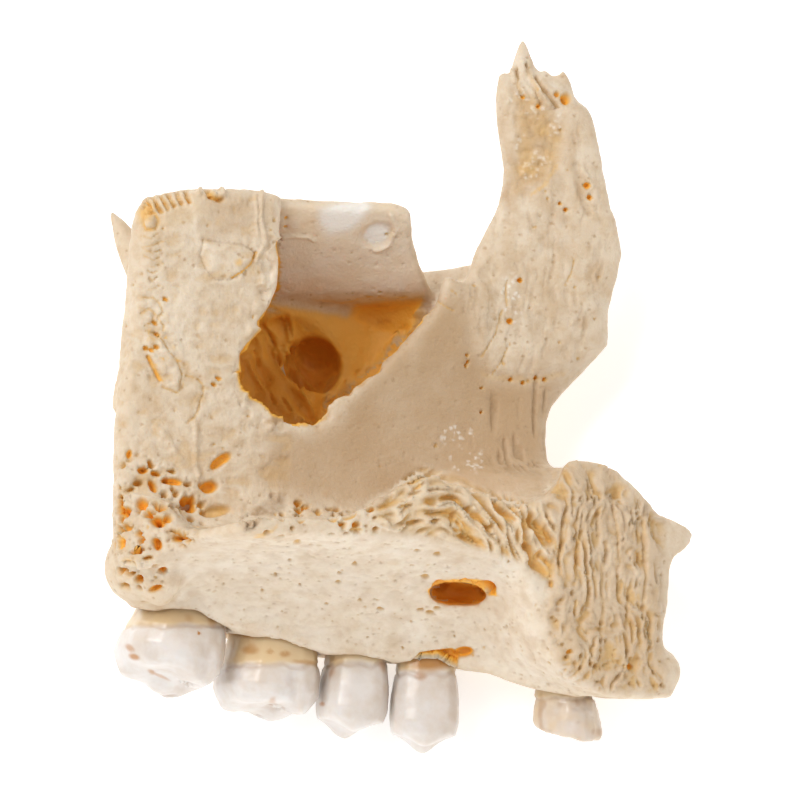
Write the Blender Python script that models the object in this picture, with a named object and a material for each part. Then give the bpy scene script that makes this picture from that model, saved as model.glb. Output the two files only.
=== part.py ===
"""A human left upper jaw bone with five of its teeth, life size, lying on its outer side.

The bone is modelled in its own frame, in millimetres: x runs forwards from the back edge of the palate,
y runs up from the floor of the nose, and z runs towards the midline of the face, which is at z = 0.
An empty then turns the whole to the pose in which it rests on a flat floor, with +Z up and the origin
under the middle of its bounding box.
"""

import math
import random

import bmesh
import bpy
import numpy as np
from mathutils import Matrix, Vector

MM = 0.001

# Driving sizes, in millimetres in the bone's own frame.
VOXEL = 0.5                 # cell of the remesh that fuses the walls into one bone
FINE_VOXEL = 0.42           # cell of the remesh after the cuts
BONE_FACES = 11000          # triangles left in the bone
SOCKET_GAP = 0.35           # clearance all round a tooth's root
ROOT_DEPTH = 6.0            # how far a tooth's root goes up into its socket

# The pose at rest, in degrees: turned about the bone's up axis, then about its forward axis.
TURN_ABOUT_UP = 31.5
TURN_ABOUT_LENGTH = 10.2

BONE_COLOUR = (0.74, 0.62, 0.44)
ENAMEL_COLOUR = (0.82, 0.78, 0.70)


def clear_scene():
    for thing in list(bpy.data.objects):
        bpy.data.objects.remove(thing)


def material(name, colour, roughness):
    made = bpy.data.materials.new(name)
    made.use_nodes = True
    shader = made.node_tree.nodes["Principled BSDF"]
    shader.inputs["Base Color"].default_value = (*colour, 1.0)
    shader.inputs["Roughness"].default_value = roughness
    return made


def profile(*pairs):
    """A smooth curve through (position, value) pairs, level beyond its ends."""
    xs, ys = np.array(pairs, float).T
    slopes = np.gradient(ys, xs)

    def at(x):
        x = min(max(x, xs[0]), xs[-1])
        i = min(int(np.searchsorted(xs, x, side="right")) - 1, len(xs) - 2)
        step = xs[i + 1] - xs[i]
        t = (x - xs[i]) / step
        start, end = slopes[i] * step, slopes[i + 1] * step
        rise = ys[i + 1] - ys[i]
        return ys[i] + t * start + t * t * (3 * rise - 2 * start - end) + t ** 3 * (start + end - 2 * rise)

    return at


def refine(net, steps):
    """A net of points made finer along its first axis, on smooth curves through them."""
    net = np.asarray(net, float)
    before = np.concatenate([2 * net[:1] - net[1:2], net, 2 * net[-1:] - net[-2:-1]])
    rows = []
    for i in range(len(net) - 1):
        a, b, c, d = before[i : i + 4]
        for t in np.arange(steps) / steps:
            rows.append(
                b + 0.5 * t * (c - a) + t * t * (a - 2.5 * b + 2 * c - 0.5 * d)
                + t ** 3 * (1.5 * (b - c) + 0.5 * (d - a))
            )
    rows.append(net[-1])
    return np.array(rows)


def smooth_net(net, steps):
    return np.swapaxes(refine(np.swapaxes(refine(net, steps), 0, 1), steps), 0, 1)


def object_from(name, points, faces):
    """One object with this mesh, its points in millimetres and its faces made to point outwards."""
    mesh = bpy.data.meshes.new(name)
    mesh.from_pydata([tuple(p) for p in np.asarray(points) * MM], [], faces)
    shell = bmesh.new()
    shell.from_mesh(mesh)
    bmesh.ops.remove_doubles(shell, verts=shell.verts, dist=0.00001)
    bmesh.ops.recalc_face_normals(shell, faces=shell.faces)
    shell.to_mesh(mesh)
    shell.free()
    made = bpy.data.objects.new(name, mesh)
    bpy.context.scene.collection.objects.link(made)
    return made


def slab(name, one, other, steps=4):
    """The closed solid between two nets of points, of the same rows and columns."""
    one, other = smooth_net(one, steps), smooth_net(other, steps)
    rows, columns = one.shape[:2]
    count = rows * columns
    faces = []
    for r in range(rows - 1):
        for c in range(columns - 1):
            a = r * columns + c
            quad = (a, a + 1, a + columns + 1, a + columns)
            faces += [quad, tuple(count + k for k in reversed(quad))]
    rim = [c for c in range(columns)]
    rim += [r * columns + columns - 1 for r in range(1, rows)]
    rim += [(rows - 1) * columns + c for c in range(columns - 2, -1, -1)]
    rim += [r * columns for r in range(rows - 2, 0, -1)]
    for a, b in zip(rim, rim[1:] + rim[:1]):
        faces.append((a, count + a, count + b, b))
    return object_from(name, np.concatenate([one.reshape(-1, 3), other.reshape(-1, 3)]), faces)


def plate(name, net, thickness, steps=4):
    """A curved plate: a net of points is its middle, and thickness is one size or one for each point."""
    net = np.asarray(net, float)
    along = np.gradient(net, axis=0)
    across = np.gradient(net, axis=1)
    normal = np.cross(along, across)
    normal /= np.linalg.norm(normal, axis=2, keepdims=True)
    half = np.broadcast_to(np.asarray(thickness, float) / 2, net.shape[:2])[..., None]
    return slab(name, net + normal * half, net - normal * half, steps)


def loft(name, rings, steps=3):
    """A closed solid through rings of points, each with as many points, and flat at both ends."""
    rings = np.asarray(rings, float)
    closed = np.concatenate([rings[:, -1:], rings, rings[:, :2]], axis=1)
    closed = np.swapaxes(refine(np.swapaxes(closed, 0, 1), steps), 0, 1)[:, steps : -2 * steps]
    points = refine(closed, steps)
    count = points.shape[1]
    faces = []
    for r in range(len(points) - 1):
        for c in range(count):
            d = (c + 1) % count
            faces.append((r * count + c, r * count + d, (r + 1) * count + d, (r + 1) * count + c))
    faces.append(tuple(range(count - 1, -1, -1)))
    faces.append(tuple((len(points) - 1) * count + c for c in range(count)))
    return object_from(name, points.reshape(-1, 3), faces)


def ellipsoid(name, centre, radii, turn=(0, 0, 0)):
    """A ball stretched to three radii, turned by three angles in degrees."""
    shell = bmesh.new()
    bmesh.ops.create_icosphere(shell, subdivisions=3, radius=1.0)
    mesh = bpy.data.meshes.new(name)
    shell.to_mesh(mesh)
    shell.free()
    turned = Matrix.Identity(4)
    for angle, axis in zip(turn, "XYZ"):
        turned = Matrix.Rotation(math.radians(angle), 4, axis) @ turned
    mesh.transform(Matrix.Diagonal((*(r * MM for r in radii), 1)))
    mesh.transform(Matrix.Translation(Vector(centre) * MM) @ turned)
    made = bpy.data.objects.new(name, mesh)
    bpy.context.scene.collection.objects.link(made)
    return made


def spike(name, root, tip, width, depth):
    """A tapered spike from root to tip, width across in the plane of the bone and depth thick."""
    root, tip = np.array(root, float), np.array(tip, float)
    along = (tip - root) / np.linalg.norm(tip - root)
    side = np.cross(along, (0, 0, 1))
    side /= np.linalg.norm(side)
    out = np.cross(side, along)
    rings = []
    for t, size in ((0.0, 0.3), (0.25, 0.9), (0.5, 1.0), (0.78, 0.6), (1.0, 0.12)):
        ring = [
            root + (tip - root) * t + size * (side * width / 2 * math.cos(a) + out * depth / 2 * math.sin(a))
            for a in np.arange(8) * math.pi / 4
        ]
        rings.append(ring)
    return loft(name, rings, 2)


# Curves of the bone, each against the distance forwards from the palate's back edge.
suture_top = profile((-2, 0.0), (4, 0.4), (9, 0.6), (12, 2.2), (15, 4.2), (17, 5.0), (22, 3.5), (27, 2.3),
                     (30.7, 3.3), (32.5, 6.2), (36.7, 6.6), (41.7, 3.0), (46, -1.2))
suture_bottom = profile((-2, -1.6), (8, -1.4), (18, -1.7), (23, -2.5), (26.4, -3.8), (28.5, -5.8),
                        (30.1, -8.6), (31.7, -13), (33.3, -15.6), (38, -16.1), (45, -16.6))
nasal_floor = profile((-2, -0.8), (9, -0.4), (20, 0.2), (28, 1.4), (33, 3.6), (37, 4.4), (41, 2.4),
                      (46, -1.5))
margin = profile((-7, -6.5), (-2.5, -7.9), (2, -8.8), (5, -9.7), (10, -10.9), (14, -12), (24, -13),
                 (32.4, -14.4), (37, -16), (46, -16.6))
lingual = profile((-7, 18.6), (0, 17.5), (5, 17.4), (10, 16.9), (14, 16), (20, 14.2), (24, 13), (28, 11.2),
                  (32, 8.5))


def palate():
    """The shelf between nose and mouth, thin behind and as deep as the jaw in front."""
    upper, lower = [], []
    shares = (0.0, 0.12, 0.35, 0.68, 1.0)
    back_edge = (0.0, -1.0, -2.0, -2.6, -3.0)
    for x in (-1.5, 3, 9, 13, 17, 22, 27, 30, 33, 37, 40, 42.8):
        top, bottom, floor = suture_top(x), suture_bottom(x), nasal_floor(x)
        reach = lingual(x) + 1.2 - 0.8 * max(0.0, x - 33)
        depth = margin(x) + 0.4
        front = min(max((x - 27) / 6, 0), 1)
        above = (top, floor + 0.45 * (top - floor), floor, floor + 0.5, floor + 2.6)
        arched, even = np.array([0, 0.02, 0.07, 0.34, 1.0]), np.array([0, 0.08, 0.26, 0.60, 1.0])
        forward = min(max((x + 1.5) / 14, 0), 1)
        vault = bottom + (depth - bottom) * (arched * (1 - forward) + even * forward)
        below = vault * (1 - front) + (margin(x) - 0.2) * front
        below[0] = bottom
        places = [x + shift if x < 0 else x for shift in back_edge]
        upper.append([(a, y, -reach * s) for a, y, s in zip(places, above, shares)])
        lower.append([(a, y, -reach * s) for a, y, s in zip(places, below, shares)])
    return slab("palate", upper, lower, 3)


# Stations round the tooth row: forwards, out from the midline, half width at the edge, half width above,
# turn of the row's normal in degrees, and the height where the ridge ends inside the bone.
TOOTH_ROW = (
    (-4.4, 22.4, 3.2, 3.8, 20, -1.0),
    (-1.5, 23.2, 5.4, 5.8, 16, 2.0),
    (4.0, 23.4, 6.2, 6.4, 10, 3.5),
    (12.0, 22.4, 6.2, 6.4, 12, 3.5),
    (18.6, 20.0, 5.4, 6.0, 20, 4.0),
    (25.0, 17.0, 4.9, 5.6, 28, 5.0),
    (30.5, 14.2, 4.7, 5.6, 38, 6.0),
    (35.2, 10.8, 4.5, 5.8, 50, 5.5),
    (38.6, 7.2, 4.3, 5.2, 62, 4.0),
    (40.5, 2.6, 4.2, 3.8, 80, 1.0),
    (40.9, 0.2, 4.2, 3.4, 88, 0.0),
)


def tooth_ridge():
    """The ridge that carries the teeth, swept round the tooth row."""
    rings = []
    for x, out, edge, above, turn, top in TOOTH_ROW:
        low = margin(x)
        swell = 0.5 if x < 37 else -1.8
        away = np.array([math.sin(math.radians(turn)), 0, -math.cos(math.radians(turn))])
        centre = np.array([x, 0, -out])
        outline = (
            (-edge + 0.2, low + 0.5), (-edge + 1.3, low - 0.1), (edge - 1.3, low - 0.1),
            (edge - 0.2, low + 0.5),
            (edge + swell, low + 4), (above, low * 0.3), (above - 1.0, top), (-above + 1.0, top),
            (-above, low * 0.3), (-edge - swell, low + 4),
        )
        rings.append([centre + away * u + np.array([0, v, 0]) for u, v in outline])
    return loft("tooth_ridge", rings, 3)


def nasal_wall():
    """The wall between nose and sinus, curling into the floor of the nose below, and open into the sinus."""
    net = []
    for x, low, mid, high, top, lean in (
        (-7.0, -4.0, 6, 18, 31.4, 1.1), (-2.0, -3.0, 6, 18, 32.4, 0.6), (4.0, -1.5, 6, 18, 33.0, 0.3),
        (10.0, -0.8, 6, 18, 32.2, 0.2), (16.0, -0.4, 6, 18, 31.0, 0.1), (22.0, 0.2, 6, 17, 27.5, 0.0),
        (27.0, 1.0, 6, 16, 24.6, 0.0), (32.0, 2.0, 7, 15, 24.0, 0.0), (35.2, 3.2, 7, 13, 20.0, -0.4),
    ):
        inner = 14.9 - 0.07 * x + lean
        slant = (-1.4, -1.3, -0.9, -0.4, 0.2, 0.7, 1.2) if x < -6 else (0.0,) * 7
        heights = (low, low + 1.5, mid, (mid + high) / 2, high, (high + top) / 2, top)
        depths = (inner - 4.5, inner - 1.2, inner, inner, inner - 0.3, inner - 0.9, inner - 1.6)
        net.append([(x + a, y, -out) for a, y, out in zip(slant, heights, depths)])
    wall = plate("nasal_wall", net, 1.7)
    cut(wall, hole_cutter())
    return wall


def cheek_wall():
    """The face side of the bone, hollowed above the canine's root."""
    net = [
        [(34.6, 1, -12.0), (29.5, -3, -18.0), (23, -3, -22.6), (16, -3, -26.2), (8, -3, -29.0)],
        [(35.2, 7, -13.2), (30.0, 6, -18.2), (23.6, 5, -22.4), (16.5, 4, -26.0), (8.5, 4, -29.5)],
        [(35.6, 13, -13.6), (30.5, 13, -18.4), (24.5, 12, -22.8), (17, 12, -27.4), (9.5, 13, -32.5)],
        [(37.0, 20, -13.0), (31.5, 20, -17.6), (26.0, 20, -24.2), (18.5, 20, -31.0), (11, 21, -36.5)],
        [(36.5, 27, -11.8), (32.5, 27.5, -17.0), (27.0, 27, -25.0), (19.0, 27, -32.6), (11, 29, -38.0)],
    ]
    return plate("cheek_wall", net, 2.0)


def back_wall():
    """The bulging wall behind the sinus, from the nose side out to the cheek process."""
    net = [
        [(-6.8, -5, -17.4), (-4.4, -5, -21.6), (-0.6, -4, -26.6), (4.4, -3, -28.6), (10, -3, -29.0)],
        [(-7.2, 4, -17.2), (-4.6, 4, -21.6), (-1.2, 4, -26.8), (4.0, 4, -29.6), (10, 4, -29.6)],
        [(-6.8, 13, -17.0), (-4.2, 13, -21.8), (-1.4, 13, -27.5), (3.6, 13, -32.0), (10, 12, -32.0)],
        [(-6.2, 22, -16.4), (-3.8, 22, -21.4), (-1.2, 22, -27.5), (3.8, 23, -32.6), (10, 22, -33.0)],
        [(-5.6, 31, -15.6), (-3.8, 29, -20.4), (-1.0, 26.5, -27.0), (4.0, 28.0, -33.0), (10, 26.5, -34.0)],
    ]
    return plate("back_wall", net, 1.8)


def orbit_floor():
    """The roof of the sinus, which is the floor of the eye socket, lowest along its middle."""
    net = [
        [(-5.8, 31.6, -15.4), (-4.0, 29.4, -19.5), (-1.6, 26.6, -26.0), (3.0, 28.6, -33.6)],
        [(0.0, 32.8, -15.0), (0.6, 29.0, -19.5), (2.0, 25.6, -26.0), (5.0, 27.6, -34.6)],
        [(7.5, 32.4, -14.6), (8.0, 28.4, -19.0), (8.6, 24.8, -25.5), (9.0, 26.6, -35.0)],
        [(14.6, 32.4, -14.2), (15.0, 28.2, -18.5), (15.4, 24.4, -24.5), (15.5, 25.8, -33.0)],
        [(20.0, 32.6, -13.8), (20.8, 28.6, -17.4), (21.6, 24.4, -22.0), (22.6, 24.4, -29.0)],
        [(22.4, 32.0, -13.8), (24.2, 28.4, -16.8), (27.0, 24.8, -19.0), (29.4, 23.2, -22.5)],
    ]
    return plate("orbit_floor", net, 1.5)


def eye_rim():
    """The thick lower rim of the eye socket, from the cheek process to the frontal process."""
    rings = []
    for x, y, z, size in ((6, 28.2, -37.4, 3.1), (14, 26.4, -34.9, 3.15), (21, 24.5, -30.2, 2.9),
                          (27.4, 22.4, -24.0, 2.8), (31.4, 24.4, -18.0, 2.6), (33.8, 28.0, -13.6, 2.2)):
        rings.append([
            (x + size * 0.7 * math.cos(a), y + size * 0.8 * math.sin(a), z - 0.6 * size * math.cos(a))
            for a in np.arange(8) * math.pi / 4
        ])
    return loft("eye_rim", rings, 3)


def cheek_process():
    """The process that meets the cheek bone, solid, and rough where the two were joined."""
    rings = []
    for out, outline in (
        (25.0, ((-1.6, 25), (10, 24), (23, 23), (21.5, 15), (12, 5), (4, 4), (-1.4, 14))),
        (31.0, ((1.2, 26), (9, 26.5), (20, 26), (19.5, 17.5), (12.5, 9), (5, 8), (1.2, 15))),
        (35.5, ((2.6, 28), (8, 28.5), (13.6, 27.0), (13.5, 20), (9.5, 11), (3.5, 10), (2.0, 17))),
        (38.8, ((3.4, 29), (7, 29.5), (11, 27.5), (11.0, 19), (7, 12.5), (-0.2, 12.6), (0.2, 17.6))),
    ):
        rings.append([(x, y, -out) for x, y in outline])
    return loft("cheek_process", rings, 3)


def cheek_spur():
    """The thin spur that stands up from the back corner of the cheek process."""
    return spike("cheek_spur", (5.4, 22.0, -36.4), (-0.6, 34.4, -38.4), 3.6, 3.0)


def frontal_process():
    """The tall blade beside the nose, with the pointed end that met the frontal bone."""
    rows = (
        (4, 25, 36.0, 13.2, 10.5, 3.0, 3.5),
        (9, 25, 36.3, 13.8, 12.2, 3.0, 4.0),
        (13, 26, 37.2, 13.8, 12.4, 3.0, 4.0),
        (18.4, 26.6, 42.0, 13.4, 10.8, 3.0, 4.4),
        (22.5, 27.0, 42.0, 12.8, 9.6, 2.8, 4.0),
        (28, 28.6, 43.0, 12.0, 8.2, 2.8, 3.4),
        (33, 30.8, 41.2, 10.8, 7.4, 3.2, 3.4),
        (38, 30.9, 39.8, 10.0, 6.8, 3.8, 3.8),
        (41.5, 30.2, 38.7, 9.4, 6.6, 3.8, 4.0),
        (43.6, 29.7, 38.0, 9.2, 6.5, 3.0, 3.2),
    )
    crown_edge = (0.0, 0.6, 1.2, 0.0, -1.6)
    one, other = [], []
    for y, back, front, out_back, out_front, thick_back, thick_front in rows:
        inner, outer = [], []
        for s, rise in zip(np.linspace(0, 1, 5), crown_edge):
            x = back + (front - back) * s
            out = out_back + (out_front - out_back) * s
            thick = thick_back + (thick_front - thick_back) * s
            edge = 0.55 if s in (0.0, 1.0) else 1.0
            crown = 1.0 * math.sin(math.pi * s)
            height = y + rise if y > 43 else y
            inner.append((x, height, -(out - thick / 2 * edge + 0.2 * crown)))
            outer.append((x, height, -(out + thick / 2 * edge + crown)))
        one.append(inner)
        other.append(outer)
    return slab("frontal_process", one, other, 3)


def frontal_spikes():
    """The teeth of bone at the top of the frontal process."""
    made = []
    for i, (x, y, z, tip_x, tip_y, width, depth) in enumerate((
        (32.1, 35, -10.2, 29.7, 46.8, 2.2, 2.8), (32.9, 34, -9.9, 32.3, 49.8, 4.4, 3.4),
        (34.9, 34, -9.2, 34.6, 47.0, 3.0, 3.2), (36.3, 34, -8.6, 36.3, 46.8, 3.6, 3.4),
        (38.0, 34, -8.0, 38.2, 43.4, 2.8, 3.0),
    )):
        made.append(spike(f"frontal_spike_{i}", (x, y, z), (tip_x, tip_y, z + 1.2), width, depth))
    return made


def nasal_spine():
    """The pointed spine below the nose, on the midline in front."""
    return spike("nasal_spine", (31, -3.0, -1.9), (47.4, -0.4, -0.9), 9.0, 3.6)


def front_lip():
    """The lower front corner, which stands forward of the face that met the other jaw bone."""
    return ellipsoid("front_lip", (43.3, -13.9, -1.8), (2.6, 2.3, 2.2))


def root_bulges():
    """Low swellings on the face side over the roots of the teeth, the longest over the canine's."""
    return [
        ellipsoid(f"root_bulge_{i}", (x, y, -out), (wide, tall, 2.4))
        for i, (x, out, y, wide, tall) in enumerate((
            (3.5, 28.8, -4.0, 2.4, 4.5), (9.0, 28.4, -5.0, 2.0, 5.0), (14.0, 27.2, -5.5, 2.0, 5.0),
            (21.2, 23.6, -5.5, 2.0, 6.5), (27.4, 20.2, -5.5, 2.0, 7.0), (33.4, 16.6, -3.5, 2.6, 10.0),
            (38.4, 12.0, -8.5, 2.0, 6.5),
        ))
    ]


def cheek_foramen():
    """The mouth of the nerve's canal on the face side, below the rim of the eye socket."""
    return ellipsoid("cheek_foramen", (25.6, 15.0, -24.0), (1.5, 1.3, 1.5))


def back_knobs():
    """The rounded knob behind the last molar, and the rough bone between it and the palate's back edge."""
    return [
        ellipsoid("back_knob", (-4.9, -3.8, -18.8), (2.9, 3.6, 4.2)),
        ellipsoid("back_filling", (-4.6, -0.6, -14.4), (2.6, 3.4, 3.4)),
        ellipsoid("back_filling_lower", (-3.6, -3.6, -15.6), (2.4, 4.4, 2.6)),
    ]


def suture_ridges(rng):
    """Upright ridges on the face that met the other jaw bone, and the folds of its crest."""
    made = []
    for i in range(9):
        x = 31.5 + i * 1.24
        top = suture_top(x) - rng.uniform(0.4, 1.2)
        bottom = max(suture_bottom(x) + 1.0, -14.5) + rng.uniform(0.0, 3.0)
        lean = rng.uniform(-0.6, 0.6)
        rings = []
        for t in (0.0, 0.3, 0.7, 1.0):
            y = bottom + (top - bottom) * t
            wide = 0.75 - 0.35 * abs(t - 0.5)
            high = 0.5 + 0.7 * math.sin(math.pi * (0.1 + 0.8 * t))
            rings.append([
                (x + lean * t + wide * math.cos(a), y, -0.4 + high * math.sin(a))
                for a in np.arange(6) * math.pi / 3
            ])
        made.append(loft(f"suture_ridge_{i}", rings, 2))
    for i in range(8):
        x = 12.5 + i * 2.1
        low, high = suture_bottom(x) + 0.6, suture_top(x) + 0.3
        made.append(spike(f"crest_fold_{i}", (x + 0.8, low, -0.5), (x - 0.5, high, 0.1), 1.5, 2.2))
    return made


def hole_cutter():
    """The opening from the nose into the sinus, which reaches up to the roof."""
    outline = (
        (8.2, 40.0), (7.8, 28), (7.9, 23.4), (6.4, 20.4), (4.6, 17.2), (3.8, 15.0), (4.8, 13.0), (6.8, 11.4),
        (9.2, 10.2), (13.3, 10.4), (13.1, 12.0), (15.8, 13.8), (18.6, 16.0), (21.8, 19.3), (24.3, 22.4),
        (24.8, 25.0), (24.6, 40.0),
    )
    return loft("hole_cutter", [[(x, y, -z) for x, y in outline] for z in (9.0, 20.0)], 1)


def sinus_recess():
    """The pocket that the sinus sends into the cheek process."""
    return ellipsoid("sinus_recess", (17.3, 17.2, -27.0), (2.9, 3.0, 4.0))


def palate_pit():
    """The slot in the mouth side of the palate, behind the front teeth."""
    return ellipsoid("palate_pit", (24.6, -6.2, -8.2), (3.3, 1.3, 3.4), (0, 0, -6))


def sinus_cutter():
    """The hollow of the sinus, kept clear of whatever the walls' overlaps leave inside it."""
    rings = []
    for y, outline in (
        (5.0, ((2, 19), (10, 18.4), (19, 17.6), (18, 20), (10, 23), (3, 23.5))),
        (10.0, ((-2.2, 18.6), (10, 17.0), (24, 16.0), (22, 20), (10, 26), (0.6, 25.0))),
        (17.0, ((-2.6, 18.2), (10, 16.6), (27, 15.2), (24, 21), (12, 28), (1.0, 25.5))),
        (21.5, ((-2.2, 17.8), (9, 16.2), (24, 15.2), (22, 21), (13, 27), (1.4, 25.5))),
        (25.0, ((-1.0, 18.4), (9, 17.0), (21, 15.6), (19, 18.4), (10, 20.6), (1, 21.0))),
    ):
        rings.append([(x, y, -out) for x, out in outline])
    return loft("sinus_cutter", rings, 3)


# Each tooth: forwards, out, width along the row, width across, edge and biting height, row turn,
# lean backwards and lean outwards in degrees, and its cusps as (along, across, height) in half widths.
MOLAR_CUSPS = ((0.5, -0.52, 1.3), (0.45, 0.55, 1.6), (-0.5, 0.5, 1.4), (-0.55, -0.45, 1.0))
PREMOLAR_CUSPS = ((0.0, -0.5, 1.3), (0.0, 0.5, 1.9))
CUSP_SPREAD = 0.22
TEETH = (
    ("molar_2", 1.6, 23.3, 9.7, 11.2, -8.8, -15.4, -4, 22, 8, MOLAR_CUSPS),
    ("molar_1", 11.05, 22.4, 9.4, 11.4, -11.2, -18.0, 0, 10, 4, MOLAR_CUSPS),
    ("premolar_2", 19.0, 19.6, 6.8, 9.2, -12.2, -20.0, 12, 6, 2, PREMOLAR_CUSPS),
    ("premolar_1", 25.3, 16.7, 6.9, 9.0, -13.1, -21.4, 22, 2, 2, PREMOLAR_CUSPS),
)


def tooth_rings(x, out, along, across, edge, bite, turn, back, outward, grow=0.0):
    """Rings of a tooth from the root's end up in the bone to just above its cusps, and their frame."""
    rings = []
    count = 20
    stations = (
        (edge + ROOT_DEPTH + grow, 0.34), (edge + ROOT_DEPTH * 0.6, 0.62), (edge + 1.0, 0.83),
        (edge - 0.8, 0.88),
        (edge + (bite - edge) * 0.4, 0.98), (edge + (bite - edge) * 0.7, 1.0), (bite + 1.2, 0.92),
    )
    row = math.radians(turn)
    forwards = Vector((math.cos(row), 0, math.sin(row)))
    sideways = Vector((math.sin(row), 0, -math.cos(row)))
    frame = Matrix((
        (forwards.x, 0, sideways.x), (forwards.y, 1, sideways.y), (forwards.z, 0, sideways.z),
    )).to_4x4()
    leaning = Matrix.Rotation(math.radians(outward), 4, "X") @ Matrix.Rotation(-math.radians(back), 4, "Z")
    place = Matrix.Translation((x, edge, -out)) @ frame @ leaning
    for y, size in stations:
        ring = []
        for i in range(count):
            a = 2 * math.pi * i / count
            u, v = math.cos(a), math.sin(a)
            square = (abs(u) ** 3 + abs(v) ** 3) ** (-1 / 3)
            u, v = u * square, v * square
            ring.append(Vector((u * (along / 2 * size + grow), y - edge, v * (across / 2 * size + grow))))
        rings.append(ring)
    return rings, place


def tooth(name, x, out, along, across, edge, bite, turn, back, outward, cusps):
    """A crown with its cusps, and the part of its root that sits in the socket."""
    rings, place = tooth_rings(x, out, along, across, edge, bite, turn, back, outward)
    last = rings[-1]
    table = []
    for share in (0.86, 0.68, 0.46, 0.24):
        ring = []
        for p in last:
            u, v = p.x * share, p.z * share
            hill = sum(
                h * math.exp(-((u / (along / 2) - cu) ** 2 + (v / (across / 2) - cv) ** 2) / CUSP_SPREAD)
                for cu, cv, h in cusps
            )
            ring.append(Vector((u, bite + 1.2 - edge - hill + 0.25 * (1 - share), v)))
        table.append(ring)
    points = [place @ p for ring in rings + table for p in ring]
    count = len(last)
    faces = []
    for r in range(len(rings) + len(table) - 1):
        for c in range(count):
            d = (c + 1) % count
            faces.append((r * count + c, r * count + d, (r + 1) * count + d, (r + 1) * count + c))
    for first in (0, (len(rings) + len(table) - 1) * count):
        centre = sum((points[first + c] for c in range(count)), Vector()) / count
        points.append(centre)
        for c in range(count):
            faces.append((first + c, first + (c + 1) % count, len(points) - 1))
    return object_from(name, points, faces)


INCISOR = (36.9, 9.4, 6.4, 6.2, -15.9, -21.2, 52, -4, -6)


def incisor():
    """The worn side incisor, whose crown has broken off at a slant."""
    rings, place = tooth_rings(*INCISOR)
    points = []
    for ring in rings:
        for p in ring:
            slant = 0.35 * p.x if p.y < -3 else 0.0
            points.append(place @ Vector((p.x, p.y - slant, p.z * 0.95)))
    count = len(rings[0])
    faces = []
    for r in range(len(rings) - 1):
        for c in range(count):
            d = (c + 1) % count
            faces.append((r * count + c, r * count + d, (r + 1) * count + d, (r + 1) * count + c))
    faces.append(tuple(range(count)))
    faces.append(tuple((len(rings) - 1) * count + c for c in range(count)))
    return object_from("incisor", points, faces)


def socket_cutter(name, values):
    rings, place = tooth_rings(*values, grow=SOCKET_GAP)
    return loft(name, [[place @ p for p in ring] for ring in rings], 1)


def empty_socket(name, x, out, along, across, turn, edge, depth):
    """The socket of a tooth that is missing."""
    rings = []
    row = math.radians(turn)
    for y, size in ((edge - 3.0, 1.0), (edge + depth * 0.5, 0.8), (edge + depth, 0.3)):
        ring = []
        for i in range(12):
            a = 2 * math.pi * i / 12
            u, v = along / 2 * size * math.cos(a), across / 2 * size * math.sin(a)
            ring.append((x + u * math.cos(row) + v * math.sin(row), y,
                        -out + u * math.sin(row) - v * math.cos(row)))
        rings.append(ring)
    return loft(name, rings, 1)


def apply_modifiers(thing):
    graph = bpy.context.evaluated_depsgraph_get()
    mesh = bpy.data.meshes.new_from_object(thing.evaluated_get(graph))
    thing.modifiers.clear()
    thing.data = mesh


def cut(thing, cutter):
    made = thing.modifiers.new("cut", "BOOLEAN")
    made.operation = "DIFFERENCE"
    made.solver = "EXACT"
    made.object = cutter
    apply_modifiers(thing)
    bpy.data.objects.remove(cutter)


def fuse(thing, cell):
    """Turns overlapping closed pieces into one closed skin, softened by a few passes."""
    skin = thing.modifiers.new("fuse", "REMESH")
    skin.mode = "VOXEL"
    skin.voxel_size = cell * MM
    soften = thing.modifiers.new("soften", "SMOOTH")
    soften.factor = 0.5
    soften.iterations = 2
    apply_modifiers(thing)


def keep_largest(thing):
    """Leaves only the closed surface with the most faces."""
    shell = bmesh.new()
    shell.from_mesh(thing.data)
    shell.faces.ensure_lookup_table()
    left, groups = set(shell.faces), []
    while left:
        start = left.pop()
        group, edge_of = [start], [start]
        while edge_of:
            for side in edge_of.pop().edges:
                for face in side.link_faces:
                    if face in left:
                        left.discard(face)
                        group.append(face)
                        edge_of.append(face)
        groups.append(group)
    groups.sort(key=len)
    for group in groups[:-1]:
        bmesh.ops.delete(shell, geom=group, context="FACES")
    shell.to_mesh(thing.data)
    shell.free()


def maxilla(bone):
    """The whole bone: its walls and processes fused, then hollowed, opened and given its sockets."""
    rng = random.Random(7)
    pieces = [
        palate(), tooth_ridge(), nasal_wall(), cheek_wall(), back_wall(), orbit_floor(), eye_rim(),
        cheek_process(), cheek_spur(), frontal_process(), nasal_spine(),
        front_lip(),
    ]
    pieces += back_knobs() + frontal_spikes() + root_bulges() + suture_ridges(rng)
    shell = bmesh.new()
    for piece in pieces:
        shell.from_mesh(piece.data)
        bpy.data.objects.remove(piece)
    mesh = bpy.data.meshes.new("maxilla")
    shell.to_mesh(mesh)
    shell.free()
    made = bpy.data.objects.new("maxilla", mesh)
    bpy.context.scene.collection.objects.link(made)
    fuse(made, VOXEL)
    keep_largest(made)
    cutters = [sinus_cutter(), sinus_recess(), palate_pit(), cheek_foramen()]
    cutters.append(socket_cutter("socket_incisor", INCISOR))
    cutters += [socket_cutter("socket_" + values[0], values[1:-1]) for values in TEETH]
    cutters.append(empty_socket("socket_canine", 31.2, 13.4, 6.2, 7.0, 40, -14.0, 7.0))
    cutters.append(empty_socket("socket_front", 38.8, 4.2, 4.6, 4.8, 70, -16.0, 6.0))
    for cutter in cutters:
        cut(made, cutter)
    fuse(made, FINE_VOXEL)
    keep_largest(made)
    thin = made.modifiers.new("thin", "DECIMATE")
    thin.ratio = BONE_FACES / sum(len(p.vertices) - 2 for p in made.data.polygons)
    apply_modifiers(made)
    made.data.materials.append(bone)
    made.data.shade_smooth()
    return made


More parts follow.
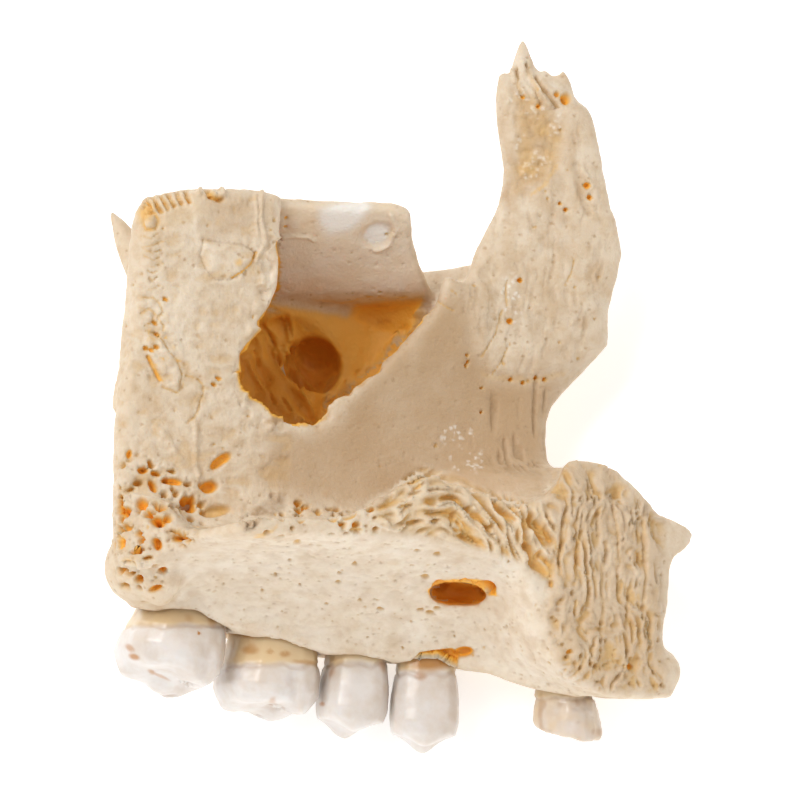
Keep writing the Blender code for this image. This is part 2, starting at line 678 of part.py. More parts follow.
def main():
    clear_scene()
    bone = material("bone", BONE_COLOUR, 0.6)
    enamel = material("enamel", ENAMEL_COLOUR, 0.3)
    parts = [maxilla(bone)]
    for made in [tooth(*values) for values in TEETH] + [incisor()]:
        made.data.materials.append(enamel)
        made.data.shade_smooth()
        parts.append(made)
    rest = bpy.data.objects.new("rest_pose", None)
    bpy.context.scene.collection.objects.link(rest)
    turn = (
        Matrix.Rotation(math.radians(TURN_ABOUT_LENGTH), 4, "X")
        @ Matrix.Rotation(math.radians(TURN_ABOUT_UP), 4, "Y")
    )
    turned = np.array([turn @ v.co for part in parts for v in part.data.vertices])
    low, high = turned.min(axis=0), turned.max(axis=0)
    centre = Vector(((low[0] + high[0]) / 2, (low[1] + high[1]) / 2, low[2]))
    rest.matrix_world = Matrix.Translation(-centre) @ turn
    for part in parts:
        part.parent = rest


main()
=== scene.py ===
"""The left half of a human upper jaw as a dry bone with five teeth: its surface, the teeth and the stage.

The bone lies on its outer side, as a specimen lies on a table, and the camera looks down on the side that
faced the other half of the jaw. Places are in two frames. Bone millimetres are forwards from the palate's
back edge, up from the floor of the nose, and towards the midline. Picture steps are 1/800 of the picture's
width, right and down from its upper left corner. They name a spot on the side turned to the camera.
"""

import math

import bpy
import numpy as np
from bpy.props import FloatProperty, FloatVectorProperty, IntProperty, PointerProperty
from mathutils import Matrix, Vector


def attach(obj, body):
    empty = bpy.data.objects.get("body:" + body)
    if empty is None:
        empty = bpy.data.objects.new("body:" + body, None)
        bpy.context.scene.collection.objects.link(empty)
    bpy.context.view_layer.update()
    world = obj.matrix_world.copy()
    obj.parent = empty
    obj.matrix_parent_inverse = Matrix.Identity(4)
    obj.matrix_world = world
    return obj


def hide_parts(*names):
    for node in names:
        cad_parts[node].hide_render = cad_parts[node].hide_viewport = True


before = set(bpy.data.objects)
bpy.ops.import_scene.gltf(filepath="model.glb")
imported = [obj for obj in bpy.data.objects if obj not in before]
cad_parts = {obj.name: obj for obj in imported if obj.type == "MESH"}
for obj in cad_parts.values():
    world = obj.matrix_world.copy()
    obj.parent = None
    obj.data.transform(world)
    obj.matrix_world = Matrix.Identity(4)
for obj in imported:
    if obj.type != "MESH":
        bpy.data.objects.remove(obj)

bl_info = {
    "name": "Dry upper jaw bone",
    "version": (1, 0, 0),
    "blender": (4, 5, 0),
    "location": "3D View > Sidebar > Jaw",
    "description": "Gives the half of an upper jaw its bone surface, teeth, floor, lights and camera",
    "category": "Object",
}

MM = 0.001

# How the bone lies: turned about its upright line, then about its length, then set down on the floor.
TURN_ABOUT_UP = 31.5
TURN_ABOUT_LENGTH = 10.2
SET_DOWN = (-9.644, -18.064, 34.672)

# How the camera sees the bone, in bone millimetres and degrees.
LOOK_TURN = 25.0
LOOK_DIP = -5.0
LOOK_SHIFT = (-13.295, -11.048, 36.0)
EYE_HEIGHT = 418.0
PICTURE_WIDTH = 800
STEPS_AT_EYE = 4080.0
SENSOR = 36.0

# The height in metres that the lights are aimed at, and how brightly the floor and the room glow.
AIM_HEIGHT = 0.015
FLOOR_GLOW = 0.42
ROOM_GLOW = 0.45

# Millimetres below the uppermost surface where a place starts to be covered, and where it is hidden.
COVERED_FROM = 1.2
COVERED_BY = 2.2

# Less of a place than this in sight counts as hidden.
BARELY_SEEN = 0.02

# How near a carved place may come to the floor, in millimetres.
FLOOR_GAP = 0.02

# The distance given where no dot is near, in cells.
FAR = 9.0

# The four tones painted on the bone: orange stain, which in the sinus is also painted glow of light through
# thin walls; grime and painted shade in hollows and creases; thin whitish bone, which on the sinus roof is
# also painted light; and tan bone, which on the nose wall is also painted shade.
STAIN_AND_GLOW, SHADE_AND_DIRT, PALE_AND_LIGHT, TAN_AND_SHADE = range(4)


# Thin points that keep their shape, as a middle and a reach in bone millimetres.
THIN_POINTS = (
    ((32.2, 45.5, -8.3), 6.0), ((0.0, 32.5, -37.6), 5.0), ((45.6, -0.8, -0.5), 4.0),
    ((44.5, -13.5, -1.8), 3.0),
)


def hex_colour(code):
    """The linear colour of an sRGB hex value."""
    values = [int(code[i : i + 2], 16) / 255 for i in (1, 3, 5)]
    return tuple(v / 12.92 if v <= 0.04045 else ((v + 0.055) / 1.055) ** 2.4 for v in values)


def bone_to_world():
    """The rest pose: bone millimetres to the floor's millimetres."""
    return (
        Matrix.Translation(SET_DOWN)
        @ Matrix.Rotation(math.radians(TURN_ABOUT_LENGTH), 4, "X")
        @ Matrix.Rotation(math.radians(TURN_ABOUT_UP), 4, "Y")
    )


def bone_to_view():
    """Bone millimetres to the camera's plane, with the eye straight above its middle."""
    return (
        Matrix.Translation(LOOK_SHIFT)
        @ Matrix.Rotation(math.radians(LOOK_DIP), 4, "X")
        @ Matrix.Rotation(math.radians(LOOK_TURN), 4, "Y")
    )


def moved(points, matrix):
    """Points moved by a matrix."""
    m = np.array(matrix)
    return points @ m[:3, :3].T + m[:3, 3]


# Patterns: each gives the same values every time.


def ease(x, low, high):
    """0 below the low value, 1 above the high one, and a smooth step between them."""
    t = np.clip((x - low) / (high - low), 0, 1)
    return t * t * (3 - 2 * t)


def chance(cell, seed):
    """A number from 0 to 1 for each whole-numbered cell."""
    k = cell.astype(np.int64)
    h = k[:, 0] * 374761393 + k[:, 1] * 668265263 + k[:, 2] * 1440662683 + seed * 974634777
    h = (h ^ (h >> 13)) * 1274126177
    h = h ^ (h >> 16)
    return (h & 0xFFFFF) / 0xFFFFF


def noise(points, size, seed):
    """Smooth noise from -1 to 1 whose lumps are about as wide as the size, which may differ by direction."""
    p = points / np.asarray(size, dtype=float)
    cell = np.floor(p)
    f = p - cell
    f = f * f * (3 - 2 * f)
    total = np.zeros(len(p))
    for corner in np.ndindex(2, 2, 2):
        weight = np.prod(np.where(corner, f, 1 - f), axis=1)
        total += weight * chance(cell + corner, seed)
    return total * 2 - 1


def layers(points, size, seed, count=3):
    """Noise of falling size laid on itself."""
    size = np.asarray(size, dtype=float)
    return sum(noise(points, size / 2**i, seed + i) * 0.5**i for i in range(count))


def folds(points, size, seed):
    """Sharp ridges, 1 on a ridge and 0 in a groove."""
    return 1 - np.abs(noise(points, size, seed)) * 1.6


def specks(points, size, seed, mask=None):
    """Distance to the nearest of scattered dots, one in each cell of the size, and that dot's own chance.

    Where a mask is given and it is empty, the distance is far and the chance is 1.
    """
    if mask is not None:
        chosen = mask > 0.004
        near, pick = np.full(len(points), FAR), np.ones(len(points))
        near[chosen], pick[chosen] = specks(points[chosen], size, seed)
        return near, pick
    p = points / np.asarray(size, dtype=float)
    cell = np.floor(p)
    nearest = np.full(len(p), FAR)
    pick = np.zeros(len(p))
    for step in np.ndindex(3, 3, 3):
        here = cell + step - 1
        dot = here + np.stack([chance(here, seed + i) for i in range(3)], axis=1)
        away = np.linalg.norm(dot - p, axis=1)
        closer = away < nearest
        nearest = np.where(closer, away, nearest)
        pick = np.where(closer, chance(here, seed + 3), pick)
    return nearest, pick


def dots(points, size, seed, core, edge, share, mask=None):
    """1 in the core of a share of the scattered dots, fading to 0 at their edge, in cells."""
    near, pick = specks(points, size, seed, mask)
    return (1 - ease(near, core, edge)) * (pick < share)


class Surface:
    """A dense mesh whose points are raised, lowered and toned, with painted shade in its hollows, before they
    go back to it.
    """

    def __init__(self, thing):
        self.mesh = thing.data
        count = len(self.mesh.vertices)
        flat = np.empty(count * 3, dtype=np.float32)
        self.mesh.vertices.foreach_get("co", flat)
        self.world = flat.reshape(-1, 3).astype(float) / MM
        self.mesh.vertices.foreach_get("normal", flat)
        self.normal = flat.reshape(-1, 3).astype(float)
        self.bone = moved(self.world, bone_to_world().inverted())
        self.bone_normal = self.normal @ np.array(bone_to_world().to_3x3())
        view = moved(self.bone, bone_to_view())
        away = EYE_HEIGHT - view[:, 2]
        middle = PICTURE_WIDTH / 2
        self.at = np.stack(
            [middle + STEPS_AT_EYE * view[:, 0] / away, middle - STEPS_AT_EYE * view[:, 1] / away], axis=1
        )
        self.seen = self.facing_eye(view)
        self.uneven = noise(self.bone, 0.9, 401)
        self.bent_at = self.at + 2.4 * np.stack(
            [noise(self.bone, 2.0, 402), noise(self.bone, 2.0, 403)], axis=1,
        )
        self.lift = np.zeros(count)
        self.wander = np.zeros(count)
        self.tone = np.zeros((count, 4))

    def facing_eye(self, view):
        """1 where the camera sees the surface, and 0 where something above hides it."""
        turn = np.array((bone_to_view() @ bone_to_world().inverted()).to_3x3())
        self.towards = (self.normal @ turn.T)[:, 2]
        square = 4
        wide = PICTURE_WIDTH // square
        column = np.clip(self.at // square, 0, wide - 1).astype(int)
        index = column[:, 0] * wide + column[:, 1]
        top = np.full(wide * wide, -1e9)
        np.maximum.at(top, index, view[:, 2])
        hidden = top[index] - view[:, 2]
        return ease(self.towards, -0.1, 0.1) * (1 - ease(hidden, COVERED_FROM, COVERED_BY))

    def oval(self, right, down, wide, high, lean=0.0, soft=0.35):
        """A soft-edged oval on the picture, half as wide and high as given, leaning clockwise."""
        a = math.radians(lean)
        x, y = self.at[:, 0] - right, self.at[:, 1] - down
        along = (x * math.cos(a) + y * math.sin(a)) / wide
        across = (y * math.cos(a) - x * math.sin(a)) / high
        return (1 - ease(np.hypot(along, across), 1 - soft, 1 + soft)) * self.seen

    def away(self, line, places=None):
        """Picture steps from each point to a line through places."""
        places = self.at if places is None else places
        nearest = np.full(len(places), 1e9)
        for a, b in zip(line, line[1:]):
            a, b = np.array(a, float), np.array(b, float)
            along = np.clip((places - a) @ (b - a) / max((b - a) @ (b - a), 1e-9), 0, 1)
            nearest = np.minimum(nearest, np.linalg.norm(places - a - along[:, None] * (b - a), axis=1))
        return nearest

    def line(self, *places, wide=2.0):
        """A wavering line through places on the picture, fading over its width and broken here and there."""
        bent = self.away(places, self.bent_at) + 0.5 * self.uneven
        return (1 - ease(bent, wide * 0.2, wide)) * self.seen * (0.72 + 0.28 * self.uneven)

    def patch(self, *corners, soft=6.0, through=False):
        """The inside of an outline on the picture, fading over its edge. Through takes in covered faces."""
        edge = self.away(corners + corners[:1])
        x, y = self.at[:, 0], self.at[:, 1]
        inside = np.zeros(len(x), dtype=bool)
        for (x0, y0), (x1, y1) in zip(corners, corners[1:] + corners[:1]):
            if y0 != y1:
                inside ^= ((y0 > y) != (y1 > y)) & (x < (x1 - x0) * (y - y0) / (y1 - y0) + x0)
        mask = ease(np.where(inside, edge, -edge), -soft, soft)
        return mask * (ease(self.towards, -0.1, 0.1) if through else self.seen)

    def within(self, centre, radii):
        """Inner faces of the hollow around a place in bone millimetres: they are near it and face it."""
        towards = np.array(centre, float) - self.bone
        facing = np.sum(self.bone_normal * towards, axis=1) / np.maximum(np.linalg.norm(towards, axis=1), 0.1)
        return ease(facing, -0.3, 0.0) * (1 - ease(np.linalg.norm(towards / radii, axis=1), 1.0, 1.2))

    def paint(self, tone, mask):
        """Adds a tone where it is stronger than what is there."""
        self.tone[:, tone] = np.maximum(self.tone[:, tone], mask)

    def groove(self, mask, deep, stain):
        """Sinks a mask and stains its bottom."""
        self.lift -= deep * mask
        self.paint(STAIN_AND_GLOW, stain * mask)

    def hole(self, right, down, wide, high, lean=0.0, deep=0.8, stain=0.8):
        """A pit with a stained floor and painted shade in its middle."""
        self.lift -= deep * self.oval(right, down, wide, high, lean)
        self.paint(STAIN_AND_GLOW, stain * self.oval(right, down, wide * 1.02, high * 1.02, lean, 0.35))
        self.paint(SHADE_AND_DIRT, 0.55 * stain * self.oval(right, down, wide * 0.7, high * 0.7, lean, 0.5))

    def finish(self, floor_clear=1.5):
        """Moves the points, paints shade into the hollows, and stores the tones with the mesh."""
        height = self.world[:, 2]
        free = ease(height, 0, floor_clear)
        drift = np.stack([layers(self.bone, 1.2, 301 + 10 * i, 2) for i in range(3)], axis=1)
        raised = self.world + free[:, None] * (
            self.normal * self.lift[:, None] + drift * self.wander[:, None]
        )
        raised[:, 2] = np.maximum(raised[:, 2], np.minimum(height, FLOOR_GAP))
        self.mesh.vertices.foreach_set("co", (raised * MM).astype(np.float32).ravel())
        self.mesh.update()
        # Painted shade: the further a point lies below its smoothed surroundings, the darker it is painted.
        hollow_shade = self.hollow(raised)
        self.paint(SHADE_AND_DIRT, np.clip(hollow_shade, 0, 1))
        store = self.mesh.attributes.new("tone", "FLOAT_COLOR", "POINT")
        store.data.foreach_set("color", np.clip(self.tone, 0, 1).astype(np.float32).ravel())

    def hollow(self, points, rounds=8, full=0.3):
        """How far each point lies below its smoothed surroundings, 1 at the full depth in millimetres."""
        ends = np.empty(len(self.mesh.edges) * 2, dtype=np.int32)
        self.mesh.edges.foreach_get("vertices", ends)
        a, b = ends[::2], ends[1::2]
        count = len(points)
        share = np.bincount(a, minlength=count) + np.bincount(b, minlength=count)
        smooth = points.copy()
        for _ in range(rounds):
            smooth = np.stack(
                [
                    (np.bincount(a, smooth[b, i], count) + np.bincount(b, smooth[a, i], count)) / share
                    for i in range(3)
                ],
                axis=1,
            )
        return np.sum((smooth - points) * self.normal, axis=1) / full


def thin_points(bone):
    """1 at the thin points of the bone, which smoothing would wear away."""
    mask = np.zeros(len(bone))
    for centre, reach in THIN_POINTS:
        mask = np.maximum(mask, 1 - ease(np.linalg.norm(bone - centre, axis=1) / reach, 0.6, 1.0))
    return mask


def dense_copy(node, name, cell, rounds):
    """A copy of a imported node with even, fine faces, to carve the surface in."""
    bpy.ops.object.select_all(action="DESELECT")
    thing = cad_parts[node].copy()
    thing.data = thing.data.copy()
    thing.name = name
    thing.data.name = name
    thing.data.materials.clear()
    bpy.context.scene.collection.objects.link(thing)
    bpy.context.view_layer.objects.active = thing
    thing.select_set(True)
    bpy.ops.object.transform_apply(location=True, rotation=True, scale=True)
    bpy.ops.object.mode_set(mode="EDIT")
    bpy.ops.mesh.select_all(action="SELECT")
    bpy.ops.mesh.remove_doubles(threshold=0.00001)
    bpy.ops.object.mode_set(mode="OBJECT")
    even = thing.modifiers.new("even faces", "REMESH")
    even.mode = "VOXEL"
    even.voxel_size = cell
    bpy.ops.object.modifier_apply(modifier=even.name)
    soft = thing.modifiers.new("soften facets", "SMOOTH")
    soft.factor = 0.5
    soft.iterations = rounds
    held = thin_points(Surface(thing).bone)
    group = thing.vertex_groups.new(name="smoothed")
    for level in range(1, 6):
        chosen = np.flatnonzero(np.round((1 - held) * 5) == level)
        group.add(chosen.tolist(), level / 5, "REPLACE")
    soft.vertex_group = group.name
    bpy.ops.object.modifier_apply(modifier=soft.name)
    thing.vertex_groups.clear()
    return thing


def thin_out(thing, most, seen, hidden_share):
    """Brings a mesh under a number of triangles: first the side away from the camera, then all of it."""
    bpy.context.view_layer.objects.active = thing
    behind = thing.vertex_groups.new(name="behind")
    behind.add(np.flatnonzero(seen < BARELY_SEEN).tolist(), 1.0, "REPLACE")
    in_sight = 2 * int(np.count_nonzero(seen >= BARELY_SEEN))
    for target, group in ((in_sight + most * hidden_share, behind.name), (most, "")):
        thing.data.calc_loop_triangles()
        count = len(thing.data.loop_triangles)
        if count > target:
            fewer = thing.modifiers.new("fewer faces", "DECIMATE")
            fewer.ratio = target / count
            fewer.vertex_group = group
            bpy.ops.object.modifier_apply(modifier=fewer.name)
    thing.vertex_groups.clear()


def add(tree, kind, links=None, values=None, stops=None, **settings):
    """Adds a node with its settings, input values, colour stops, and links from other nodes' outputs."""
    node = tree.nodes.new(kind)
    for key, value in settings.items():
        setattr(node, key, value)
    for key, value in (values or {}).items():
        node.inputs[key].default_value = value
    for key, source in (links or {}).items():
        tree.links.new(source, node.inputs[key])
    for i, (place, colour) in enumerate(stops or ()):
        band = node.color_ramp.elements
        stop = band[i] if i < 2 else band.new(place)
        stop.position = place
        stop.color = (*colour, 1)
    return node


def toned_material(name):
    """A material with its node tree, its shader, places on the piece, and the four painted tones."""
    material = bpy.data.materials.new(name)
    material.use_nodes = True
    tree = material.node_tree
    place = add(tree, "ShaderNodeTexCoord").outputs["Object"]
    tone = add(tree, "ShaderNodeAttribute", attribute_name="tone").outputs
    parts = add(tree, "ShaderNodeSeparateColor", {"Color": tone["Color"]}).outputs
    tones = (parts["Red"], parts["Green"], parts["Blue"], tone["Alpha"])
    return material, tree, tree.nodes["Principled BSDF"], place, tones


def lumps(tree, place, scale, detail, roughness):
    """Noise with so many lumps to the metre."""
    values = {"Scale": scale, "Detail": detail, "Roughness": roughness}
    return add(tree, "ShaderNodeTexNoise", {"Vector": place}, values).outputs["Fac"]


def coat(tree, below, share, colour):
    """A colour laid over what is below it, as strong as its share."""
    values = {7: (*colour, 1)}
    return add(tree, "ShaderNodeMix", {0: share, 6: below}, values, data_type="RGBA").outputs[2]


def surface_light(shader, roughness, ior, share, radius, reach):
    """How rough and glassy a surface is, and how far light spreads below it, in metres."""
    for key, value in (
        ("Roughness", roughness), ("IOR", ior), ("Subsurface Weight", share), ("Subsurface Radius", radius),
        ("Subsurface Scale", reach),
    ):
        shader.inputs[key].default_value = value


def dry_bone(colours):
    """Dry, cleaned bone: bare mineral, rough and slightly see-through at thin edges, stained in its hollows,
    with painted shade laid in its hollows and creases.

    The eye gets a matt cream surface with soft mottling, fine pores, orange depths that are partly stain and
    partly painted glow of light through thin walls, darker hollows from painted shade, and whitish thin
    plates that are partly painted light.
    """
    material, tree, shader, place, tones = toned_material("dry bone, cleaned by hand")
    # Clouds 7 mm wide, flecks 1.4 mm wide and grain 0.35 mm wide, as on the real bone.
    clouds = lumps(tree, place, scale=140, detail=3, roughness=0.6)
    flecks = lumps(tree, place, scale=700, detail=4, roughness=0.65)
    grain = lumps(tree, place, scale=2800, detail=2, roughness=0.5)
    base = add(
        tree, "ShaderNodeValToRGB", {"Fac": clouds},
        stops=[(0.32, colours.bone_dark), (0.66, colours.bone_light)],
    )
    fleck_strength = add(
        tree, "ShaderNodeMapRange", {"Value": flecks},
        {"From Min": 0.42, "From Max": 0.7, "To Min": 0.0, "To Max": 0.5},
    )
    flecked = coat(tree, base.outputs["Color"], fleck_strength.outputs[0], colours.fleck)
    # Tan bone, which on the nose wall is also painted shade.
    tanned_and_shaded = coat(tree, flecked, tones[TAN_AND_SHADE], colours.tan)
    # Thin whitish bone, which on the sinus roof is also painted light.
    pale_and_light = coat(tree, tanned_and_shaded, tones[PALE_AND_LIGHT], colours.pale_and_light)
    # Painted shade in hollows and creases, with some grime, broken up by the flecks.
    shade_and_dirt_strength = add(tree, "ShaderNodeMath", {0: tones[SHADE_AND_DIRT], 1: flecks}, operation="MULTIPLY")
    shaded_and_dirty = coat(tree, pale_and_light, shade_and_dirt_strength.outputs[0], colours.hollow_shade_and_dirt)
    # Orange stain, which in the sinus is also painted glow of light through thin walls.
    stain = add(
        tree, "ShaderNodeValToRGB", {"Fac": tones[STAIN_AND_GLOW]},
        stops=[(0.3, colours.stain_light), (1.0, colours.stain_deep), (0.68, colours.sinus_stain_and_glow)],
    )
    stain_and_glow_strength = add(
        tree, "ShaderNodeMapRange", {"Value": tones[STAIN_AND_GLOW]}, {"From Min": 0.02, "From Max": 0.5},
    )
    stained = add(
        tree, "ShaderNodeMix", {0: stain_and_glow_strength.outputs[0], 6: shaded_and_dirty, 7: stain.outputs["Color"]},
        data_type="RGBA",
    )
    tree.links.new(stained.outputs[2], shader.inputs["Base Color"])
    # Open pores, up to 0.5 mm wide and 1.1 mm apart, and the grain of the outer layer.
    pores = add(tree, "ShaderNodeTexVoronoi", {"Vector": place}, {"Scale": 900})
    pits = add(
        tree, "ShaderNodeMapRange", {"Value": pores.outputs["Distance"]},
        {"From Min": 0.06, "From Max": 0.24, "To Min": -0.5, "To Max": 0.0},
    )
    height = add(tree, "ShaderNodeMath", {0: grain, 1: pits.outputs[0]}, operation="ADD")
    relief = add(tree, "ShaderNodeMath", {0: height.outputs[0], 1: flecks}, operation="ADD")
    bump = add(tree, "ShaderNodeBump", {"Height": relief.outputs[0]}, {"Strength": 0.7, "Distance": 0.00008})
    tree.links.new(bump.outputs["Normal"], shader.inputs["Normal"])
    surface_light(shader, roughness=0.62, ior=1.54, share=0.1, radius=(1.0, 0.55, 0.25), reach=0.001)
    return material


def tooth_enamel(colours):
    """Tooth enamel over dentine: a glassy, slightly milky coat, worn smooth, yellow-brown near the neck."""
    material, tree, shader, place, tones = toned_material("tooth enamel, worn smooth")
    base = add(
        tree, "ShaderNodeValToRGB", {"Fac": lumps(tree, place, scale=350, detail=4, roughness=0.6)},
        stops=[(0.35, colours.enamel_dark), (0.62, colours.enamel_light)],
    )
    neck = coat(tree, base.outputs["Color"], tones[PALE_AND_LIGHT], colours.neck)
    # A darker brown in the shallow groove along the neck, and in patches on the incisor.
    shaded_and_dirty = coat(tree, neck, tones[SHADE_AND_DIRT], colours.fissure)
    stained = coat(tree, shaded_and_dirty, tones[STAIN_AND_GLOW], colours.tooth_stain)
    tree.links.new(stained, shader.inputs["Base Color"])
    # Growth lines and scratches, 0.4 mm apart.
    lines = lumps(tree, place, scale=2200, detail=2, roughness=0.5)
    bump = add(tree, "ShaderNodeBump", {"Height": lines}, {"Strength": 0.25, "Distance": 0.00003})
    tree.links.new(bump.outputs["Normal"], shader.inputs["Normal"])
    surface_light(shader, roughness=0.32, ior=1.62, share=0.25, radius=(1.0, 0.7, 0.45), reach=0.0015)
    return material


# The carving of the bone, region by region.


def carve_skin(s):
    """The outer layer everywhere: gentle swells, grain and scattered pinholes."""
    s.lift += 0.07 * noise(s.bone, 4.5, 1) + 0.012 * layers(s.bone, 0.9, 5, 2)
    pinhole = dots(s.bone, 1.5, 11, 0.07, 0.15, 0.3)
    s.groove(pinhole, 0.22, 0.35)
    dent = s.seen * dots(s.bone, (0.75, 0.65, 0.75), 13, 0.1, 0.34, 0.26, s.seen)
    s.lift -= 0.09 * dent
    s.paint(TAN_AND_SHADE, 0.75 * dent)


def carve_back_strip(s):
    """The broken strip at the back, where the palate bone sat: rough above, open spongy bone below."""
    strip = s.patch(
        (132, 190), (215, 182), (272, 195), (275, 240), (262, 300), (238, 370), (252, 410), (292, 430),
        (290, 480), (230, 522), (166, 556), (165, 596), (110, 580), (112, 470), (125, 300),
    )
    bent = s.bone + 0.5 * noise(s.bone, 1.6, 20)[:, None]
    rough = folds(bent, (1.5, 1.1, 1.5), 21) * 0.5 + folds(bent, 0.6, 24) * 0.25
    s.lift += strip * (rough - 0.35) * 0.26
    # The low parts of the rough strip get painted shade and a little stain.
    s.paint(SHADE_AND_DIRT, strip * 0.22 * (1 - ease(rough, 0.1, 0.5)))
    s.paint(STAIN_AND_GLOW, strip * 0.12 * (1 - ease(rough, 0.0, 0.35)))
    spongy = s.patch(
        (120, 466), (152, 448), (178, 470), (202, 480), (204, 512), (198, 537), (168, 556), (166, 590),
        (120, 586), (111, 545), soft=5,
    )
    near, pick = specks(s.bone + 0.5 * noise(s.bone, 1.5, 33)[:, None], (1.25, 1.0, 1.25), 31, spongy)
    cell = (1 - ease(near, 0.26, 0.5)) * (pick < 0.8)
    s.lift -= spongy * (1.15 * cell - 0.15)
    s.paint(STAIN_AND_GLOW, spongy * cell * (0.55 + 0.4 * pick))
    s.lift -= spongy * 0.25 * dots(s.bone, 0.6, 37, 0.2, 0.4, 0.5, spongy)
    for right, down, wide, high, lean, deep in (
        (129, 454, 3, 4, 20, 0.6), (143, 470, 5, 3, 0, 0.9), (153, 486, 6, 3, 60, 1.0),
        (172, 482, 10, 3, 5, 0.8), (127, 512, 3, 5, 0, 1.0), (142, 504, 5, 6, 20, 1.3),
        (148, 513, 3, 3, 0, 0.9), (160, 507, 5, 3, 10, 0.8), (185, 505, 6, 4, 50, 1.2),
        (192, 502, 3, 6, 10, 1.1), (158, 521, 8, 5, 15, 1.4), (179, 537, 7, 4, -20, 1.3),
        (120, 543, 4, 6, 20, 0.9), (129, 567, 6, 8, -30, 1.6), (139, 579, 4, 4, 0, 1.3),
        (163, 570, 4, 3, 0, 1.0), (157, 544, 6, 4, 60, 1.1), (155, 589, 7, 3, -20, 0.9),
    ):
        s.hole(right, down, wide, high, lean, deep, 0.85)
    s.hole(221, 461, 11, 4.5, -35, 0.8, 0.75)
    s.hole(210, 487, 7.5, 5.5, -5, 1.2, 0.8)
    s.hole(216, 511, 14, 5, -8, 0.7, 0.35)
    s.lift += 0.35 * s.line((194, 424), (196, 450), (198, 478), wide=4)
    s.lift += 0.3 * s.line((156, 427), (170, 440), (179, 459), wide=5)


def carve_top_back(s):
    """The upper end of the strip: a comb of slots, a ring, a small channel and the shell-shaped scar."""
    for a, b in (
        ((137, 196), (142, 207)), ((143, 197), (152, 213)), ((152, 196), (160, 211)),
        ((160, 194), (167, 208)), ((168, 194), (174, 206)), ((176, 192), (181, 203)),
        ((185, 192), (189, 201)),
    ):
        slot = s.line(a, b, wide=3.4)
        s.groove(slot, 0.9, 0.6)
    ring = s.line(
        (144, 214), (155, 213), (158, 221), (154, 229), (145, 228), (143, 220), (144, 214), wide=2.2,
    )
    s.lift -= 0.4 * ring
    s.lift += 0.3 * s.oval(150, 221, 4.5, 5, 0, 0.5)
    s.paint(STAIN_AND_GLOW, 0.6 * ring)
    s.paint(STAIN_AND_GLOW, 0.4 * s.oval(146, 212, 8, 12, 20, 0.6))
    for down, left, right in (
        (236, 142, 158), (243, 143, 161), (250, 145, 163), (257, 146, 164), (264, 147, 162), (272, 147, 159),
        (280, 148, 158), (288, 148, 157),
    ):
        sway = 3 * math.sin(down * 2.1)
        fold = s.line((left, down + sway), ((left + right) / 2, down + 2), (right + sway, down - 1), wide=1.7)
        s.lift -= 0.32 * fold * (0.6 + 0.4 * s.uneven)
        s.paint(STAIN_AND_GLOW, 0.42 * fold * (0.6 + 0.4 * s.uneven))
    s.paint(STAIN_AND_GLOW, 0.1 * s.patch((132, 190), (205, 188), (210, 214), (168, 232), (138, 240), soft=12))
    plate = s.patch((207, 203), (252, 198), (256, 236), (222, 241), (204, 236), soft=9)
    s.lift -= 0.2 * plate
    s.paint(TAN_AND_SHADE, 0.5 * plate * (0.8 + 0.3 * s.uneven))
    channel = s.line((207, 186), (211, 196), (220, 199), wide=4.5)
    s.groove(channel, 1.1, 0.6)
    s.lift += 0.5 * s.line((199, 193), (204, 184), (210, 190), (216, 197), (222, 194), (221, 185), wide=3)
    s.lift += 0.35 * s.line((263, 190), (261, 215), (265, 240), (256, 262), wide=3)
    s.lift += 0.28 * s.line((257, 196), (257, 236), wide=2.5)
    shell = ((205, 239), (222, 242), (241, 245), (255, 254), (253, 264), (245, 273), (231, 280), (217, 280),
             (206, 268), (201, 255), (205, 239))
    s.lift += 0.22 * s.patch(*shell[:-1], soft=3)
    s.lift -= 0.25 * s.line(*shell, wide=1.8)
    rim = s.line((256, 253), (251, 264), (243, 271), (233, 278), wide=1.8)
    s.groove(rim, 0.35, 0.8)
    s.paint(STAIN_AND_GLOW, 0.35 * s.oval(238, 262, 4, 4))
    # Painted shade: four small dark spots beside the shell-shaped scar.
    for right, down in ((246, 272), (245, 275), (268, 256), (271, 258)):
        s.paint(SHADE_AND_DIRT, 1.6 * s.oval(right, down, 1.8, 1.8))


def carve_shells(s):
    """The curled shells half way down the strip."""
    for line in (
        ((143, 299), (153, 298), (160, 303), (163, 311), (158, 317), (165, 325), (164, 331)),
        ((141, 312), (149, 308), (155, 313), (152, 321), (145, 324)),
        ((145, 330), (155, 333), (163, 340), (170, 352), (178, 362), (183, 375), (181, 386)),
        ((163, 387), (171, 390), (178, 393), (183, 388)),
        ((187, 377), (197, 378), (202, 386), (202, 396), (199, 407), (194, 416), (186, 422)),
    ):
        edge = s.line(*line, wide=1.7)
        s.groove(edge, 0.26, 0.4)
    s.lift += 0.3 * s.patch(
        (145, 332), (160, 338), (172, 353), (182, 375), (178, 390), (160, 380), (148, 350), soft=4,
    )
    slot = s.line((147, 357), (153, 367), (161, 380), wide=3)
    s.groove(slot, 0.6, 0.75)
    # Painted shade: a dark line beside the slot.
    s.paint(SHADE_AND_DIRT, 1.5 * s.line((146, 368), (148, 374), (150, 380), wide=2.2))
    area = s.patch((140, 298), (165, 305), (182, 350), (186, 388), (160, 388), (143, 350), soft=5)
    near, pick = specks(s.bone, (0.9, 0.7, 0.9), 41, area)
    bead = (1 - ease(near, 0.2, 0.6)) * area
    s.lift += 0.16 * bead
    s.paint(STAIN_AND_GLOW, 0.5 * area * ease(near, 0.62, 0.85) * pick)
    for right, down in (
        (166, 299), (157, 335), (146, 348), (151, 350), (156, 347), (155, 323), (219, 378), (214, 384),
    ):
        s.hole(right, down, 3, 2, 30, 0.5, 0.6)


